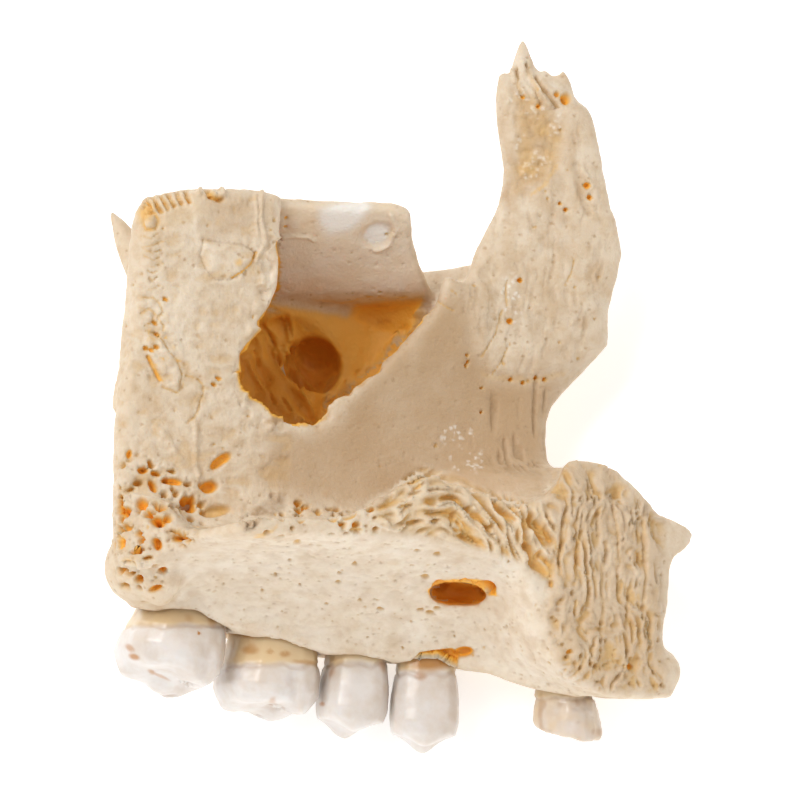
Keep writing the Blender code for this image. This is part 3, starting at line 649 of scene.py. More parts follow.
def carve_crest(s):
    """The crest of the midline joint: thin folded sheets like flames, open cells behind them, a thin lip."""
    crest = s.patch(
        (372, 512), (388, 498), (402, 480), (426, 468), (452, 473), (497, 496), (540, 502), (560, 520),
        (552, 582), (530, 568), (510, 556), (465, 543), (420, 534), (385, 530), soft=5,
    )
    turn = np.radians(-12 + 75 * ease(s.at[:, 0], 395, 530))
    x, y = s.at[:, 0] - 450, s.at[:, 1] - 505
    fan = np.stack([y * np.cos(turn) - x * np.sin(turn), x * np.cos(turn) + y * np.sin(turn), 0 * x], axis=1)
    fan += 5.0 * np.stack([noise(s.bone, 1.8, 51), noise(s.bone, 1.8, 52), noise(s.bone, 1.0, 53)], axis=1)
    leaf = 0.6 * folds(fan, (7.5, 34, 20), 55) + 0.4 * folds(fan, (4.0, 15, 20), 58)
    s.lift += crest * (leaf - 0.55) * 1.1
    s.paint(PALE_AND_LIGHT, crest * 0.3 * ease(leaf, 0.5, 0.9))
    s.paint(STAIN_AND_GLOW, crest * (0.13 + 0.28 * (1 - ease(leaf, 0.1, 0.5))))
    back = s.patch(
        (262, 520), (300, 497), (326, 509), (372, 507), (395, 530), (362, 533), (313, 533), (262, 540),
        soft=3,
    )
    cell = dots(s.bone, (1.1, 0.8, 1.2), 61, 0.22, 0.5, 0.75, back)
    s.lift -= back * (1.0 * cell - 0.1)
    s.paint(STAIN_AND_GLOW, back * cell * 0.6)
    for right, down, wide, high, lean in (
        (349, 516, 9, 4, -20), (356, 530, 8, 3, 0), (301, 519, 5, 5, 30), (333, 519, 6, 4, 0),
        (318, 513, 4, 4, 0), (405, 506, 11, 2.5, -12), (418, 487, 9, 2.5, -35), (413, 522, 9, 3, -15),
        (434, 521, 5, 3, 0), (453, 519, 3, 10, 20), (469, 509, 3, 6, 20), (491, 527, 3, 7, 15),
        (526, 524, 7, 9, 10), (526, 547, 6, 6, 0), (539, 555, 4, 8, 15), (551, 584, 3, 5, 0),
    ):
        s.hole(right, down, wide * 0.75, high * 0.75, lean, 0.5, 0.4)


def carve_joint(s):
    """The tall joint face at the front: wavy sheets standing side by side, finer towards the bottom."""
    face = s.patch(
        (548, 480), (566, 461), (604, 462), (640, 500), (664, 520), (660, 590), (660, 640), (668, 672),
        (664, 692), (600, 690), (562, 676), (545, 640), (548, 590), (540, 530), soft=6,
    )
    bent = s.bone + np.stack(
        [
            1.1 * noise(s.bone, (2.0, 3.2, 3.0), 71) + 0.35 * noise(s.bone, (0.9, 1.1, 0.9), 72),
            1.2 * noise(s.bone, 1.8, 76), 0.8 * noise(s.bone, 3.0, 73),
        ],
        axis=1,
    )
    broken = 0.5 + 0.5 * noise(s.bone, (1.2, 1.8, 1.2), 74)
    sheet = folds(bent, (0.95, 3.2, 2.6), 75)
    fine = folds(bent, (0.45, 1.0, 0.9), 78)
    crumbs = noise(s.bone, 0.5, 79)
    relief = (0.2 + 0.35 * broken) * sheet + (0.5 - 0.2 * broken) * fine + 0.12 * crumbs
    s.lift += face * (relief - 0.45) * (0.85 + 0.3 * noise(s.bone, 3.0, 80))
    s.paint(STAIN_AND_GLOW, face * (0.04 + 0.24 * (1 - ease(relief, 0.05, 0.4))))
    # Painted shade in the grooves between the sheets.
    s.paint(SHADE_AND_DIRT, face * 0.4 * (1 - ease(relief, 0.05, 0.4)))
    s.paint(TAN_AND_SHADE, face * 0.4)
    low = s.patch((548, 600), (600, 640), (660, 630), (668, 690), (600, 690), (556, 672), soft=10)
    pitting = dots(s.bone, (0.8, 1.0, 0.8), 81, 0.15, 0.36, 0.5, low)
    s.lift -= low * 0.35 * pitting
    s.paint(STAIN_AND_GLOW, low * 0.3 * pitting)
    for line, wide, deep, stain in (
        (((580, 532), (578, 555), (577, 578)), 3.2, 0.5, 0.45),
        (((576, 600), (575, 614)), 2.6, 0.4, 0.45),
        (((604, 541), (605, 560), (603, 590), (601, 640)), 3.2, 0.35, 0.25),
        (((628, 596), (627, 630), (628, 656)), 2.8, 0.35, 0.25),
        (((639, 552), (638, 563)), 2.8, 0.5, 0.5),
        (((644, 522), (645, 560), (643, 618)), 2.8, 0.4, 0.25),
        (((566, 500), (562, 540), (560, 575)), 3.0, 0.45, 0.3),
        (((590, 480), (596, 510), (598, 535)), 2.6, 0.35, 0.2),
        (((613, 500), (617, 540), (618, 590)), 2.4, 0.3, 0.2),
    ):
        groove = s.line(*line, wide=wide)
        s.lift -= deep * groove
        s.paint(STAIN_AND_GLOW, stain * groove)
    s.hole(631, 667, 3.5, 3, 0, 0.7, 0.85)
    s.hole(570, 652, 3, 2.5, 0, 0.5, 0.6)


def carve_palate(s):
    """The roof of the mouth beside the joint: peppered with pores, with one large opening and a gap below."""
    roof = s.patch(
        (168, 552), (210, 534), (262, 540), (313, 534), (400, 536), (465, 547), (512, 560), (545, 590),
        (556, 660), (600, 690), (540, 688), (470, 664), (420, 662), (330, 655), (230, 632), (175, 612),
        soft=5,
    )
    s.paint(PALE_AND_LIGHT, roof * (0.2 + 0.12 * noise(s.bone, 2.0, 96)))
    s.paint(TAN_AND_SHADE, roof * 0.4 * ease(noise(s.bone, 1.1, 99), 0.1, 0.8))
    crowd = ease(noise(s.bone, 2.6, 100), -0.5, 0.5)
    near, pick = specks(s.bone, (1.0, 0.85, 0.9), 91, roof)
    pore = roof * (1 - ease(near, 0.07, 0.1 + 0.12 * pick)) * (pick < 0.25 + 0.45 * crowd)
    s.groove(pore, 0.32, 0.42)
    prick = roof * dots(s.bone, (0.6, 0.5, 0.6), 89, 0.12, 0.3, 0.12 + 0.22 * crowd, roof)
    s.groove(prick, 0.14, 0.2)
    s.lift += roof * (0.07 * layers(s.bone, (1.6, 0.8, 1.1), 95) + 0.03 * noise(s.bone, 0.5, 94))
    wander = folds(s.bone + 0.6 * noise(s.bone, 1.4, 97)[:, None], (2.2, 0.7, 0.9), 98)
    s.lift -= roof * 0.06 * (1 - ease(wander, 0.0, 0.35))
    for right, down, wide, high in (
        (297, 543, 4, 3.2), (437, 555, 4, 2.6), (425, 577, 4.5, 3), (338, 582, 3, 2), (339, 573, 2.5, 1.6),
        (417, 551, 3, 1.6), (380, 609, 4, 1.8), (420, 610, 4, 2), (430, 612, 5, 2.4), (437, 608, 4, 2),
        (355, 565, 3, 2), (290, 560, 2, 2), (275, 575, 2, 2.6), (300, 585, 2, 2), (262, 590, 2, 2),
        (360, 600, 2.4, 1.8),
    ):
        s.hole(right, down, wide * 0.8, high * 0.8, 0, 0.35, 0.36)
    mouth = s.patch(
        (432, 583), (445, 580), (462, 579), (481, 580), (494, 585), (497, 596), (476, 594), (459, 597),
        (449, 602), (439, 598), (434, 590), soft=2,
    )
    s.paint(STAIN_AND_GLOW, 0.85 * mouth)
    s.paint(STAIN_AND_GLOW, 0.9 * s.oval(458, 593, 28, 12.5, 0, 0.08))
    s.paint(STAIN_AND_GLOW, 0.85 * s.within((25.3, -4.6, -8.0), (4.6, 2.6, 2.8)))
    for right, down, wide, high, deep in (
        (485, 588, 9, 6, 1.5), (441, 586, 7, 5, 0.8), (466, 582, 6, 2.5, 0.6),
    ):
        s.lift -= deep * s.oval(right, down, wide, high, 10, 0.3)
    gap = s.patch((414, 660), (420, 654), (433, 651), (452, 649), (459, 656), (456, 668), (418, 670), soft=2)
    end = s.oval(463, 652, 9, 4.5, -5, 0.4)
    s.lift -= 1.1 * gap + 0.9 * end
    s.paint(STAIN_AND_GLOW, (0.84 + 0.14 * s.uneven) * gap)
    s.paint(STAIN_AND_GLOW, 0.95 * end)
    # Painted shade in the dark end of the gap.
    s.paint(SHADE_AND_DIRT, 0.9 * end)


def carve_nose_floor(s):
    """The floor of the nose behind the crest, and the rough spot where the palate bone was joined, darkened
    with painted shade.
    """
    rough = s.patch(
        (238, 520), (258, 505), (272, 494), (286, 494), (284, 508), (262, 522), (244, 534), soft=4,
    )
    s.lift += rough * 0.5 * (folds(s.bone, 0.8, 101) - 0.5)
    # The rough spot is darkened with painted shade.
    s.paint(SHADE_AND_DIRT, rough * 0.95)
    s.lift -= 0.5 * s.line((249, 517), (255, 521), (253, 530), (247, 531), (249, 517), wide=2.2)
    s.paint(STAIN_AND_GLOW, 0.5 * s.line((255, 538), (268, 533), (276, 526), wide=2.6))


def carve_side_wall(s):
    """The side wall of the nose and the upright process: grain lines, a step, nerve holes and white crust."""
    wall = s.patch(
        (340, 420), (420, 300), (455, 290), (478, 350), (490, 378), (560, 380), (548, 430), (548, 490),
        (480, 500), (426, 470), (380, 505), (300, 500), (262, 480), (270, 440), (320, 430), soft=16,
    )
    # The nose wall is tan, deepest in an oval near the root of the upright process: partly the wall's own
    # colour, partly painted shade where the concave wall is darker.
    s.paint(TAN_AND_SHADE, wall * (0.8 + 0.2 * noise(s.bone, 4.0, 112)))
    s.paint(TAN_AND_SHADE, 0.9 * s.oval(440, 345, 26, 60, 25, 0.6))
    stripes = s.patch((484, 378), (562, 376), (548, 430), (548, 470), (500, 470), (470, 440), soft=10)
    line = folds(s.bone, (0.55, 6.0, 1.2), 111)
    s.lift -= stripes * 0.2 * (1 - ease(line, 0.1, 0.5))
    # Painted shade in the grooves between the grain lines.
    s.paint(SHADE_AND_DIRT, stripes * 0.55 * (1 - ease(line, 0.1, 0.5)))
    step = s.line((484, 372), (495, 377), (512, 380), (537, 379), (562, 372), wide=5)
    s.lift += 0.4 * s.patch(
        (470, 300), (600, 300), (606, 345), (570, 364), (537, 373), (511, 374), (494, 370), (478, 352),
        soft=7,
    )
    s.paint(STAIN_AND_GLOW, 0.16 * step)
    for right, down, size in (
        (520, 280, 2.4), (509, 321, 3.0), (566, 210, 2.0), (587, 186, 3.2), (590, 198, 2.4), (560, 204, 1.8),
        (522, 97, 2.0), (539, 106, 2.2), (511, 380, 2.0), (523, 383, 1.8), (536, 378, 2.0), (545, 380, 1.8),
        (482, 388, 1.6), (467, 355, 1.6), (468, 362, 1.6), (466, 366, 1.4), (481, 412, 1.4),
    ):
        s.hole(right, down, size, size, 0, 0.6, 0.85)
    for crack in (
        ((507, 281), (506, 295), (505, 306)), ((500, 310), (494, 330), (481, 358)),
        ((510, 344), (502, 360), (494, 372)), ((451, 289), (456, 292)), ((435, 299), (444, 304), (453, 309)),
        ((573, 255), (571, 270), (566, 285)),
    ):
        mark = s.line(*crack, wide=1.5)
        s.groove(mark, 0.22, 0.4)
    process = s.patch(
        (505, 70), (575, 90), (600, 180), (612, 250), (600, 330), (565, 372), (500, 375), (462, 330),
        (470, 270), (500, 190), soft=12,
    )
    strand = folds(s.bone + 0.4 * noise(s.bone, 1.6, 117)[:, None], (0.5, 2.6, 0.9), 118)
    s.lift -= process * 0.09 * (1 - ease(strand, 0.0, 0.5))
    # Painted shade in the grooves between the strands.
    s.paint(SHADE_AND_DIRT, process * 0.3 * (1 - ease(strand, 0.0, 0.4)))
    s.paint(TAN_AND_SHADE, process * 0.4 * ease(noise(s.bone, 1.3, 119), 0.0, 0.8))
    for right, down, wide, high in (
        (456, 434, 15, 9), (468, 460, 16, 10), (535, 162, 13, 9), (530, 173, 9, 6), (555, 126, 9, 10),
        (536, 112, 10, 6), (519, 100, 9, 7), (512, 300, 10, 22), (520, 145, 5, 10),
    ):
        crust = s.oval(right, down, wide, high, 0, 0.8)
        flake = ease(crust, 0.0, 0.6) * dots(s.bone, 0.42, 115, 0.25, 0.6, 0.55, crust)
        s.lift += 0.06 * flake
        s.paint(PALE_AND_LIGHT, 0.6 * flake)


def carve_facet(s):
    """The joint facet at the top of the upright process: a shallow rough hollow below the pointed end."""
    facet = s.patch(
        (513, 91), (528, 96), (547, 108), (563, 126), (564, 143), (557, 162), (545, 182), (528, 192),
        (513, 191), (514, 162), (520, 138), (515, 113), soft=9,
    )
    s.lift -= facet * (0.42 + 0.2 * layers(s.bone, 0.7, 121))
    s.paint(STAIN_AND_GLOW, facet * (0.15 + 0.1 * layers(s.bone, 1.2, 124)))
    s.paint(TAN_AND_SHADE, facet * (0.65 + 0.25 * layers(s.bone, 1.6, 122)))
    s.paint(STAIN_AND_GLOW, 0.35 * s.line((532, 194), (545, 184), (556, 166), wide=3))
    for ridge in (
        ((522, 62), (531, 76), (541, 98), (548, 108)), ((513, 72), (520, 84), (527, 96)),
        ((531, 78), (540, 92), (552, 108)),
    ):
        s.lift += 0.45 * s.line(*ridge, wide=3.0)
    for groove in (
        ((527, 66), (534, 84), (541, 104)), ((517, 70), (519, 84), (522, 94)),
        ((537, 78), (546, 94), (556, 108)),
    ):
        s.lift -= 0.6 * s.line(*groove, wide=2.8)
        s.paint(STAIN_AND_GLOW, 0.22 * s.line(*groove, wide=2.8))
    s.hole(566, 98, 5, 6, 20, 0.9, 0.85)
    s.hole(557, 94, 3, 3, 0, 0.6, 0.6)
    s.lift -= 0.35 * s.line((575, 165), (580, 190), (590, 215), wide=5)
    s.lift += 0.2 * s.line((583, 170), (594, 190), (599, 205), wide=3)


def carve_sinus(s):
    """The hollow inside the cheek: a thin roof with two cells, painted whitish partly as painted light, and a
    rugged floor painted orange, partly stain and partly painted glow of light through the thin walls.
    """
    window = (
        (272, 200), (318, 203), (372, 200), (410, 206), (412, 245), (424, 290), (424, 302), (400, 335),
        (376, 368), (330, 405), (322, 424), (268, 424), (244, 402), (234, 374), (262, 302), (275, 240),
    )
    inside = s.patch(*window, soft=2, through=True)
    hollow = s.within((11.0, 14.5, -22.5), (17.0, 13.5, 9.0))
    deep = np.maximum(hollow, inside * (1 - ease(s.bone[:, 2], -17.5, -16.0)))
    floor = deep * s.patch(
        (256, 312), (292, 316), (300, 342), (315, 378), (322, 426), (240, 426), (228, 368), soft=7,
        through=True,
    )
    slant = np.array([[0.85, 0.52, 0], [-0.52, 0.85, 0], [0, 0, 1]])
    vein = folds(s.bone @ slant.T, (1.1, 3.6, 2.2), 131)
    s.lift += floor * (vein - 0.5) * 0.7
    # From here the sinus is painted orange: partly stain, partly painted glow of light through its thin
    # walls, made bright where the inside lies in shade.
    s.paint(STAIN_AND_GLOW, deep * s.patch(
        (258, 312), (292, 312), (312, 330), (345, 345), (352, 368), (330, 382), (322, 426), (240, 426),
        (226, 368), soft=9, through=True,
    ) * (0.72 + 0.12 * (1 - vein) + 0.1 * layers(s.bone, 2.5, 133)))
    s.paint(STAIN_AND_GLOW, deep * 0.78 * s.patch(
        (355, 304), (424, 298), (424, 318), (402, 338), (376, 337), (345, 322), soft=12,
    ))
    s.paint(STAIN_AND_GLOW, 0.95 * deep * s.oval(385, 321, 16, 4, -5, 0.6))
    s.paint(STAIN_AND_GLOW, 0.92 * deep * s.oval(316, 352, 24, 21, 30, 0.3))
    s.paint(STAIN_AND_GLOW, 0.6 * deep * s.patch(
        (262, 302), (330, 312), (410, 330), (376, 368), (328, 405), (312, 340), soft=8, through=True,
    ))
    s.paint(TAN_AND_SHADE, s.patch(
        (424, 300), (424, 318), (376, 366), (328, 404), (322, 424), (262, 424), (300, 380), (380, 330),
        soft=3, through=True,
    ))
    s.paint(STAIN_AND_GLOW, 0.14 * deep * ease(s.at[:, 1], 285, 305))
    s.paint(STAIN_AND_GLOW, hollow * (0.6 + 0.1 * layers(s.bone, 2.5, 134)) * (1 - s.seen))
    rim = (
        (275, 240), (262, 301), (238, 370), (246, 402), (272, 424), (322, 422), (328, 404), (375, 366),
        (421, 316),
    )
    from_rim = s.away(rim)
    s.wander += 0.35 * (1 - ease(from_rim, 3, 9))
    under = (1 - ease(s.towards, 0.0, 0.3)) * (1 - ease(from_rim, 8, 16)) * ease(s.bone[:, 2], -24, -22)
    s.paint(STAIN_AND_GLOW, 0.6 * under)
    for streak in (
        ((260, 324), (268, 333), (276, 345)), ((278, 359), (289, 379)), ((289, 371), (301, 391)),
        ((263, 385), (272, 402)), ((252, 352), (256, 366)), ((282, 398), (290, 412)),
    ):
        mark = s.line(*streak, wide=2.6)
        s.lift -= 0.5 * mark * deep
        s.paint(STAIN_AND_GLOW, 0.95 * mark * deep)
    for ridge in (
        ((286, 350), (300, 385), (315, 420)), ((275, 352), (285, 380), (306, 400)), ((284, 318), (290, 340)),
    ):
        s.lift += 0.4 * s.line(*ridge, wide=3.0) * deep
    roof = s.patch(
        (276, 206), (316, 203), (370, 200), (408, 208), (410, 250), (423, 290), (300, 292), (266, 300),
        (275, 240), soft=3,
    )
    thin = np.maximum(
        s.patch(
            (318, 209), (336, 203), (366, 200), (372, 206), (364, 220), (350, 231), (328, 235), (318, 223),
            soft=6,
        ),
        s.oval(377, 235, 16, 10, -15, 0.3),
    )
    # The roof is painted whitish: partly thin bone, partly painted light on a roof that faces away from the
    # key light. The thin cells are whitest, partly as painted glow of light through the thin plate.
    s.paint(PALE_AND_LIGHT, roof * (0.6 + 0.1 * layers(s.bone, 3.0, 139)))
    s.paint(PALE_AND_LIGHT, thin)
    s.paint(STAIN_AND_GLOW, roof * (0.15 + 0.05 * layers(s.bone, 2.5, 140)) * (1 - thin))
    s.lift -= 0.35 * s.oval(377, 235, 17, 11, -15, 0.3)
    s.lift += 0.3 * s.line((392, 214), (396, 230), (388, 246), (374, 250), wide=3)
    s.paint(
        STAIN_AND_GLOW, 0.22 * s.line((394, 228), (389, 244), (376, 250), (360, 238), (368, 222), (376, 208), wide=4),
    )
    s.lift += 0.35 * s.line((272, 234), (279, 240), (292, 236), (307, 236), (315, 241), wide=2.6)
    s.paint(STAIN_AND_GLOW, 0.2 * s.line((274, 252), (279, 241), (292, 237), (307, 236), (316, 242), wide=3))
    s.paint(STAIN_AND_GLOW, 0.16 * roof * s.oval(414, 282, 16, 18, 0, 0.8))
    s.paint(STAIN_AND_GLOW, 0.2 * roof * s.line((286, 296), (320, 294), (360, 296), wide=6))
    s.paint(STAIN_AND_GLOW, 0.5 * s.line((312, 300), (340, 303), (366, 297), (400, 298), (422, 292), wide=2.0))
    pitted = s.patch((272, 209), (290, 208), (294, 230), (276, 230), soft=3)
    pitting = dots(s.bone, 0.8, 137, 0.15, 0.35, 0.7, pitted)
    s.lift -= pitted * 0.3 * pitting
    s.paint(STAIN_AND_GLOW, pitted * 0.6 * pitting)
    s.paint(TAN_AND_SHADE, pitted * 0.7)
    # Painted shade: four small dark spots along the rim of the hollow.
    for right, down in ((322, 303), (403, 297), (368, 297), (300, 352)):
        s.paint(SHADE_AND_DIRT, 1.4 * s.oval(right, down, 2.6, 1.8))


def carve_outer_side(s):
    """What the camera doesn't see: the broken end of the cheek process and the pitted back wall."""
    end = np.linalg.norm((s.bone - (13.0, 22.0, -38.5)) / (11, 9, 3.5), axis=1)
    torn = (1 - ease(end, 0.6, 1.1)) * (1 - s.seen)
    s.lift += torn * 0.35 * (folds(s.bone, 1.2, 141) - 0.5)
    s.paint(STAIN_AND_GLOW, torn * 0.25 * (1 - ease(folds(s.bone, 1.2, 141), 0.1, 0.5)))
    behind = (1 - ease(s.bone[:, 0], 4, 9)) * (1 - s.seen)
    near, pick = specks(s.bone, 1.6, 145, behind)
    pore = behind * (1 - ease(near, 0.05, 0.08 + 0.3 * pick)) * (pick < 0.28)
    s.groove(pore, 0.35, 0.4)


CARVING = (
    carve_skin, carve_back_strip, carve_top_back, carve_shells, carve_crest, carve_joint, carve_palate,
    carve_nose_floor, carve_side_wall, carve_facet, carve_sinus, carve_outer_side,
)

# Each tooth, in bone millimetres and degrees as in the part's source: its middle, forwards and towards the
# midline, the turn of its row there, and the heights of the bone's edge and of its biting edge.
TEETH = {
    "molar_2": (1.6, -23.3, -4.0, -8.8, -15.4),
    "molar_1": (11.05, -22.4, 0.0, -11.2, -18.0),
    "premolar_2": (19.0, -19.6, 12.0, -12.2, -20.0),
    "premolar_1": (25.3, -16.7, 22.0, -13.1, -21.4),
    "incisor": (36.9, -9.4, 52.0, -15.9, -21.2),
}


def carve_tooth(s, name):
    """Growth lines, worn grooves and the stained neck of one tooth."""
    forwards, inwards, turn, edge, bite = TEETH[name]
    down = edge - s.bone[:, 1]
    crown = bite - edge
    share = down / -crown
    row = math.radians(turn)
    along = (s.bone[:, 0] - forwards) * math.cos(row) + (s.bone[:, 2] - inwards) * math.sin(row)
    s.lift += 0.05 * layers(s.bone, 2.2, 201) + 0.02 * noise(s.bone, (3.0, 0.35, 3.0), 205)
    neck = 0.34 if name == "molar_1" else 0.14
    s.paint(PALE_AND_LIGHT, 0.9 - 0.9 * ease(share + 0.05 * noise(s.bone, 1.6, 207), neck - 0.1, neck))
    if name.startswith("molar"):
        s.lift -= 0.3 * (1 - ease(np.abs(along), 0.1, 1.3)) * ease(share, 0.25, 0.6) * s.seen
    border = 1 - ease(np.abs(share + 0.04 * noise(s.bone, 1.1, 211) - neck + 0.02), 0.015, 0.05)
    s.paint(SHADE_AND_DIRT, 0.22 * border)
    s.lift -= 0.1 * border
    if name == "incisor":
        s.lift += 0.14 * layers(s.bone, 1.4, 213)
        s.paint(PALE_AND_LIGHT, 0.3 + 0.3 * layers(s.bone, 1.6, 215))
        s.paint(SHADE_AND_DIRT, 0.12 + 0.4 * ease(noise(s.bone, 0.9, 217), 0.2, 0.9))
    blotch = dots(s.bone, 2.2, 209, 0.1, 0.4, 0.3) * (1 - ease(share, 0.25, 0.5))
    s.paint(STAIN_AND_GLOW, 0.5 * blotch)


def stain_teeth(s, name):
    """The yellow and brown spots on the side of each tooth that the camera sees."""
    spots = {
        "molar_2": ((130, 648, 5, 3, 40, 0.7), (134, 657, 5, 3, 20, 0.9), (199, 633, 1.6, 2, 0, 1.0),
                    (147, 608, 5, 3, 20, 0.4), (160, 676, 10, 1.5, 25, 0.6), (152, 672, 4, 2, 30, 0.7)),
        "molar_1": ((250, 650, 8, 4, 0, 0.6), (285, 654, 5, 3, 0, 0.6), (270, 652, 4, 2, 0, 0.5),
                    (240, 634, 14, 2.5, 12, 0.8), (305, 662, 12, 2, 5, 0.45), (272, 702, 3, 5, 20, 0.5)),
        "premolar_2": ((322, 704, 3, 2, 0, 0.7),),
        "premolar_1": ((432, 661, 24, 9, -5, 0.85),),
        "incisor": (),
    }
    for right, down, wide, high, lean, strength in spots[name]:
        s.paint(STAIN_AND_GLOW, strength * s.oval(right, down, wide, high, lean, 0.5))


def colour_setting(name, description, code):
    """A colour setting with its sRGB hex value."""
    return FloatVectorProperty(
        name=name, description=description, subtype="COLOR", size=3, default=hex_colour(code),
    )


class JawSizes(bpy.types.PropertyGroup):
    """Sizes that a user would change."""

    bone_cell: FloatProperty(
        name="Bone cell", description="Width of the faces that the bone is carved in",
        default=0.0002, min=0.00015, unit="LENGTH", precision=5,
    )
    tooth_cell: FloatProperty(
        name="Tooth cell", description="Width of the faces that the teeth are carved in",
        default=0.00018, min=0.0001, unit="LENGTH", precision=5,
    )
    jitter: FloatProperty(
        name="Edge wander", description="How far broken edges wander from a smooth line",
        default=0.00005, min=0.0, unit="LENGTH", precision=5,
    )
    bone_faces: IntProperty(
        name="Bone triangles", description="Most triangles that the bone keeps", default=196000, min=20000,
    )
    tooth_faces: IntProperty(
        name="Tooth triangles", description="Most triangles that a tooth keeps", default=30000, min=5000,
    )
    floor_width: FloatProperty(
        name="Floor width", description="Width of the floor", default=3.0, min=1.0, unit="LENGTH",
    )


class JawColours(bpy.types.PropertyGroup):
    """Colours that a user would change."""

    bone_light: colour_setting("Bone, light", "Clean dry bone", "#E5D4BC")
    bone_dark: colour_setting("Bone, darker", "Yellower clouds in the bone", "#DAC5A9")
    fleck: colour_setting("Fleck", "Small tan flecks", "#C6A478")
    # On the concave nose wall this tan also stands for painted shade.
    tan: colour_setting("Tan bone", "Warmer, darker bone of the nose wall", "#BC9B74")
    # Laid on the sinus roof and thin cells, this white also stands for painted light.
    pale_and_light: colour_setting("Thin bone", "Warm white of thin plates", "#F6F0E6")
    # Painted shade in hollows and creases, with some grime.
    hollow_shade_and_dirt: colour_setting("Dirt", "Grey-brown dirt in hollows", "#8C6430")
    stain_light: colour_setting("Stain, light", "Orange stain where it is thin", "#E0B262")
    # The sinus orange: partly stain, partly painted glow of light through thin walls.
    sinus_stain_and_glow: colour_setting("Stain, middle", "Orange stain of the sinus", "#FAB640")
    stain_deep: colour_setting("Stain, deep", "Orange-brown stain in deep holes", "#DA8A1A")
    enamel_light: colour_setting("Enamel, light", "Milky enamel", "#E1DAD4")
    enamel_dark: colour_setting("Enamel, darker", "Pinkish enamel", "#D6C9BC")
    neck: colour_setting("Tooth neck", "Dentine and root at the neck", "#E0C598")
    fissure: colour_setting("Fissure", "Dirt in the grooves of the teeth", "#A87C4C")
    tooth_stain: colour_setting("Tooth stain", "Yellow-brown spots on the teeth", "#B5761C")
    floor: colour_setting("Floor", "Pale floor", "#FAFAFA")


class JAW_OT_bone(bpy.types.Operator):
    """Carves the bone's surface and gives it its tones and material"""

    bl_idname = "jaw.bone"
    bl_label = "Bone"

    def execute(self, context):
        sizes = context.scene.jaw_sizes
        bone = dense_copy("maxilla", "upper_jaw_bone", sizes.bone_cell, rounds=14)
        surface = Surface(bone)
        surface.wander += sizes.jitter / MM
        for carve in CARVING:
            carve(surface)
        surface.finish()
        thin_out(bone, sizes.bone_faces, surface.seen, hidden_share=0.3)
        bpy.ops.object.shade_smooth()
        bone.data.materials.append(dry_bone(context.scene.jaw_colours))
        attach(bone, "root")
        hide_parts("maxilla")
        return {"FINISHED"}


class JAW_OT_teeth(bpy.types.Operator):
    """Carves the five teeth and gives them their stains and material"""

    bl_idname = "jaw.teeth"
    bl_label = "Teeth"

    def execute(self, context):
        sizes = context.scene.jaw_sizes
        enamel = tooth_enamel(context.scene.jaw_colours)
        for node in TEETH:
            tooth = dense_copy(node, node + "_crown", sizes.tooth_cell, rounds=12)
            surface = Surface(tooth)
            carve_tooth(surface, node)
            stain_teeth(surface, node)
            surface.finish()
            thin_out(tooth, sizes.tooth_faces, surface.seen, hidden_share=0.4)
            bpy.ops.object.shade_smooth()
            tooth.data.materials.append(enamel)
            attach(tooth, "root")
            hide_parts(node)
        return {"FINISHED"}


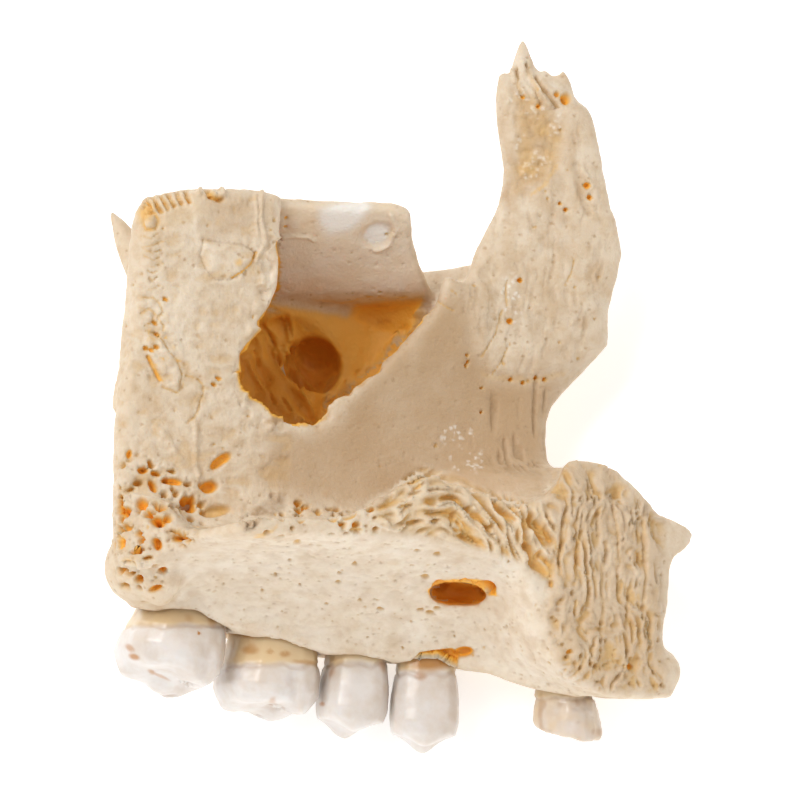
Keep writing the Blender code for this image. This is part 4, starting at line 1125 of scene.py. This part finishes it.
class JAW_OT_stage(bpy.types.Operator):
    """Lays the floor, hangs the soft lights and sets the camera"""

    bl_idname = "jaw.stage"
    bl_label = "Stage"

    def execute(self, context):
        scene = context.scene
        bpy.ops.object.select_all(action="DESELECT")
        bpy.ops.mesh.primitive_plane_add(size=scene.jaw_sizes.floor_width, location=(0, 0, 0))
        floor = context.object
        floor.name = "floor"
        paper = bpy.data.materials.new("matt white paper")
        paper.use_nodes = True
        shader = paper.node_tree.nodes["Principled BSDF"]
        shader.inputs["Base Color"].default_value = (*scene.jaw_colours.floor, 1)
        shader.inputs["Roughness"].default_value = 0.9
        shader.inputs["Specular IOR Level"].default_value = 0.1
        # The sheet glows a little as well, so that it stays white around the bone.
        shader.inputs["Emission Color"].default_value = (1, 1, 1, 1)
        shader.inputs["Emission Strength"].default_value = FLOOR_GLOW
        floor.data.materials.append(paper)

        to_world = bone_to_world() @ bone_to_view().inverted()
        to_world = Matrix.Translation(to_world.translation * MM) @ to_world.to_3x3().to_4x4()
        bpy.ops.object.camera_add()
        camera = context.object
        camera.name = "camera"
        camera.data.sensor_width = SENSOR
        camera.data.lens = STEPS_AT_EYE / PICTURE_WIDTH * SENSOR
        camera.data.clip_start = 0.01
        camera.matrix_world = to_world @ Matrix.Translation((0, 0, EYE_HEIGHT * MM))
        scene.camera = camera

        # One broad soft light from the upper left, two weaker ones opposite, under an even white room.
        for name, place, size, power in (
            ("key", (-0.42, 0.42, 0.62), 0.5, 4.7),
            ("fill right", (0.55, 0.1, 0.6), 0.7, 1.0),
            ("fill below", (-0.1, -0.6, 0.45), 0.6, 1.7),
        ):
            spot = to_world @ Vector(place)
            bpy.ops.object.light_add(type="AREA", location=spot)
            light = context.object
            light.name = name
            light.data.size = size
            light.data.energy = power
            light.rotation_mode = "QUATERNION"
            light.rotation_quaternion = (spot - Vector((0, 0, AIM_HEIGHT))).to_track_quat("Z", "Y")
        world = bpy.data.worlds.new("white room")
        scene.world = world
        world.use_nodes = True
        world.node_tree.nodes["Background"].inputs["Color"].default_value = (1, 1, 1, 1)
        world.node_tree.nodes["Background"].inputs["Strength"].default_value = ROOM_GLOW
        scene.view_settings.view_transform = "Standard"
        return {"FINISHED"}


class JAW_PT_panel(bpy.types.Panel):
    """Lists the pieces, their sizes and their colours"""

    bl_idname = "JAW_PT_panel"
    bl_label = "Dry upper jaw"
    bl_space_type = "VIEW_3D"
    bl_region_type = "UI"
    bl_category = "Jaw"

    def draw(self, context):
        for operator in OPERATORS:
            self.layout.operator(operator.bl_idname)
        for group in (context.scene.jaw_sizes, context.scene.jaw_colours):
            for key in group.__annotations__:
                self.layout.prop(group, key)


OPERATORS = (JAW_OT_bone, JAW_OT_teeth, JAW_OT_stage)
CLASSES = (JawSizes, JawColours, *OPERATORS, JAW_PT_panel)


def register():
    for made in CLASSES:
        bpy.utils.register_class(made)
    bpy.types.Scene.jaw_sizes = PointerProperty(type=JawSizes)
    bpy.types.Scene.jaw_colours = PointerProperty(type=JawColours)


def unregister():
    del bpy.types.Scene.jaw_colours
    del bpy.types.Scene.jaw_sizes
    for made in reversed(CLASSES):
        bpy.utils.unregister_class(made)


def main():
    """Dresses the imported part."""
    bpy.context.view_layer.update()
    register()
    bpy.ops.jaw.bone()
    bpy.ops.jaw.teeth()
    bpy.ops.jaw.stage()


if __name__ == "__main__":
    main()
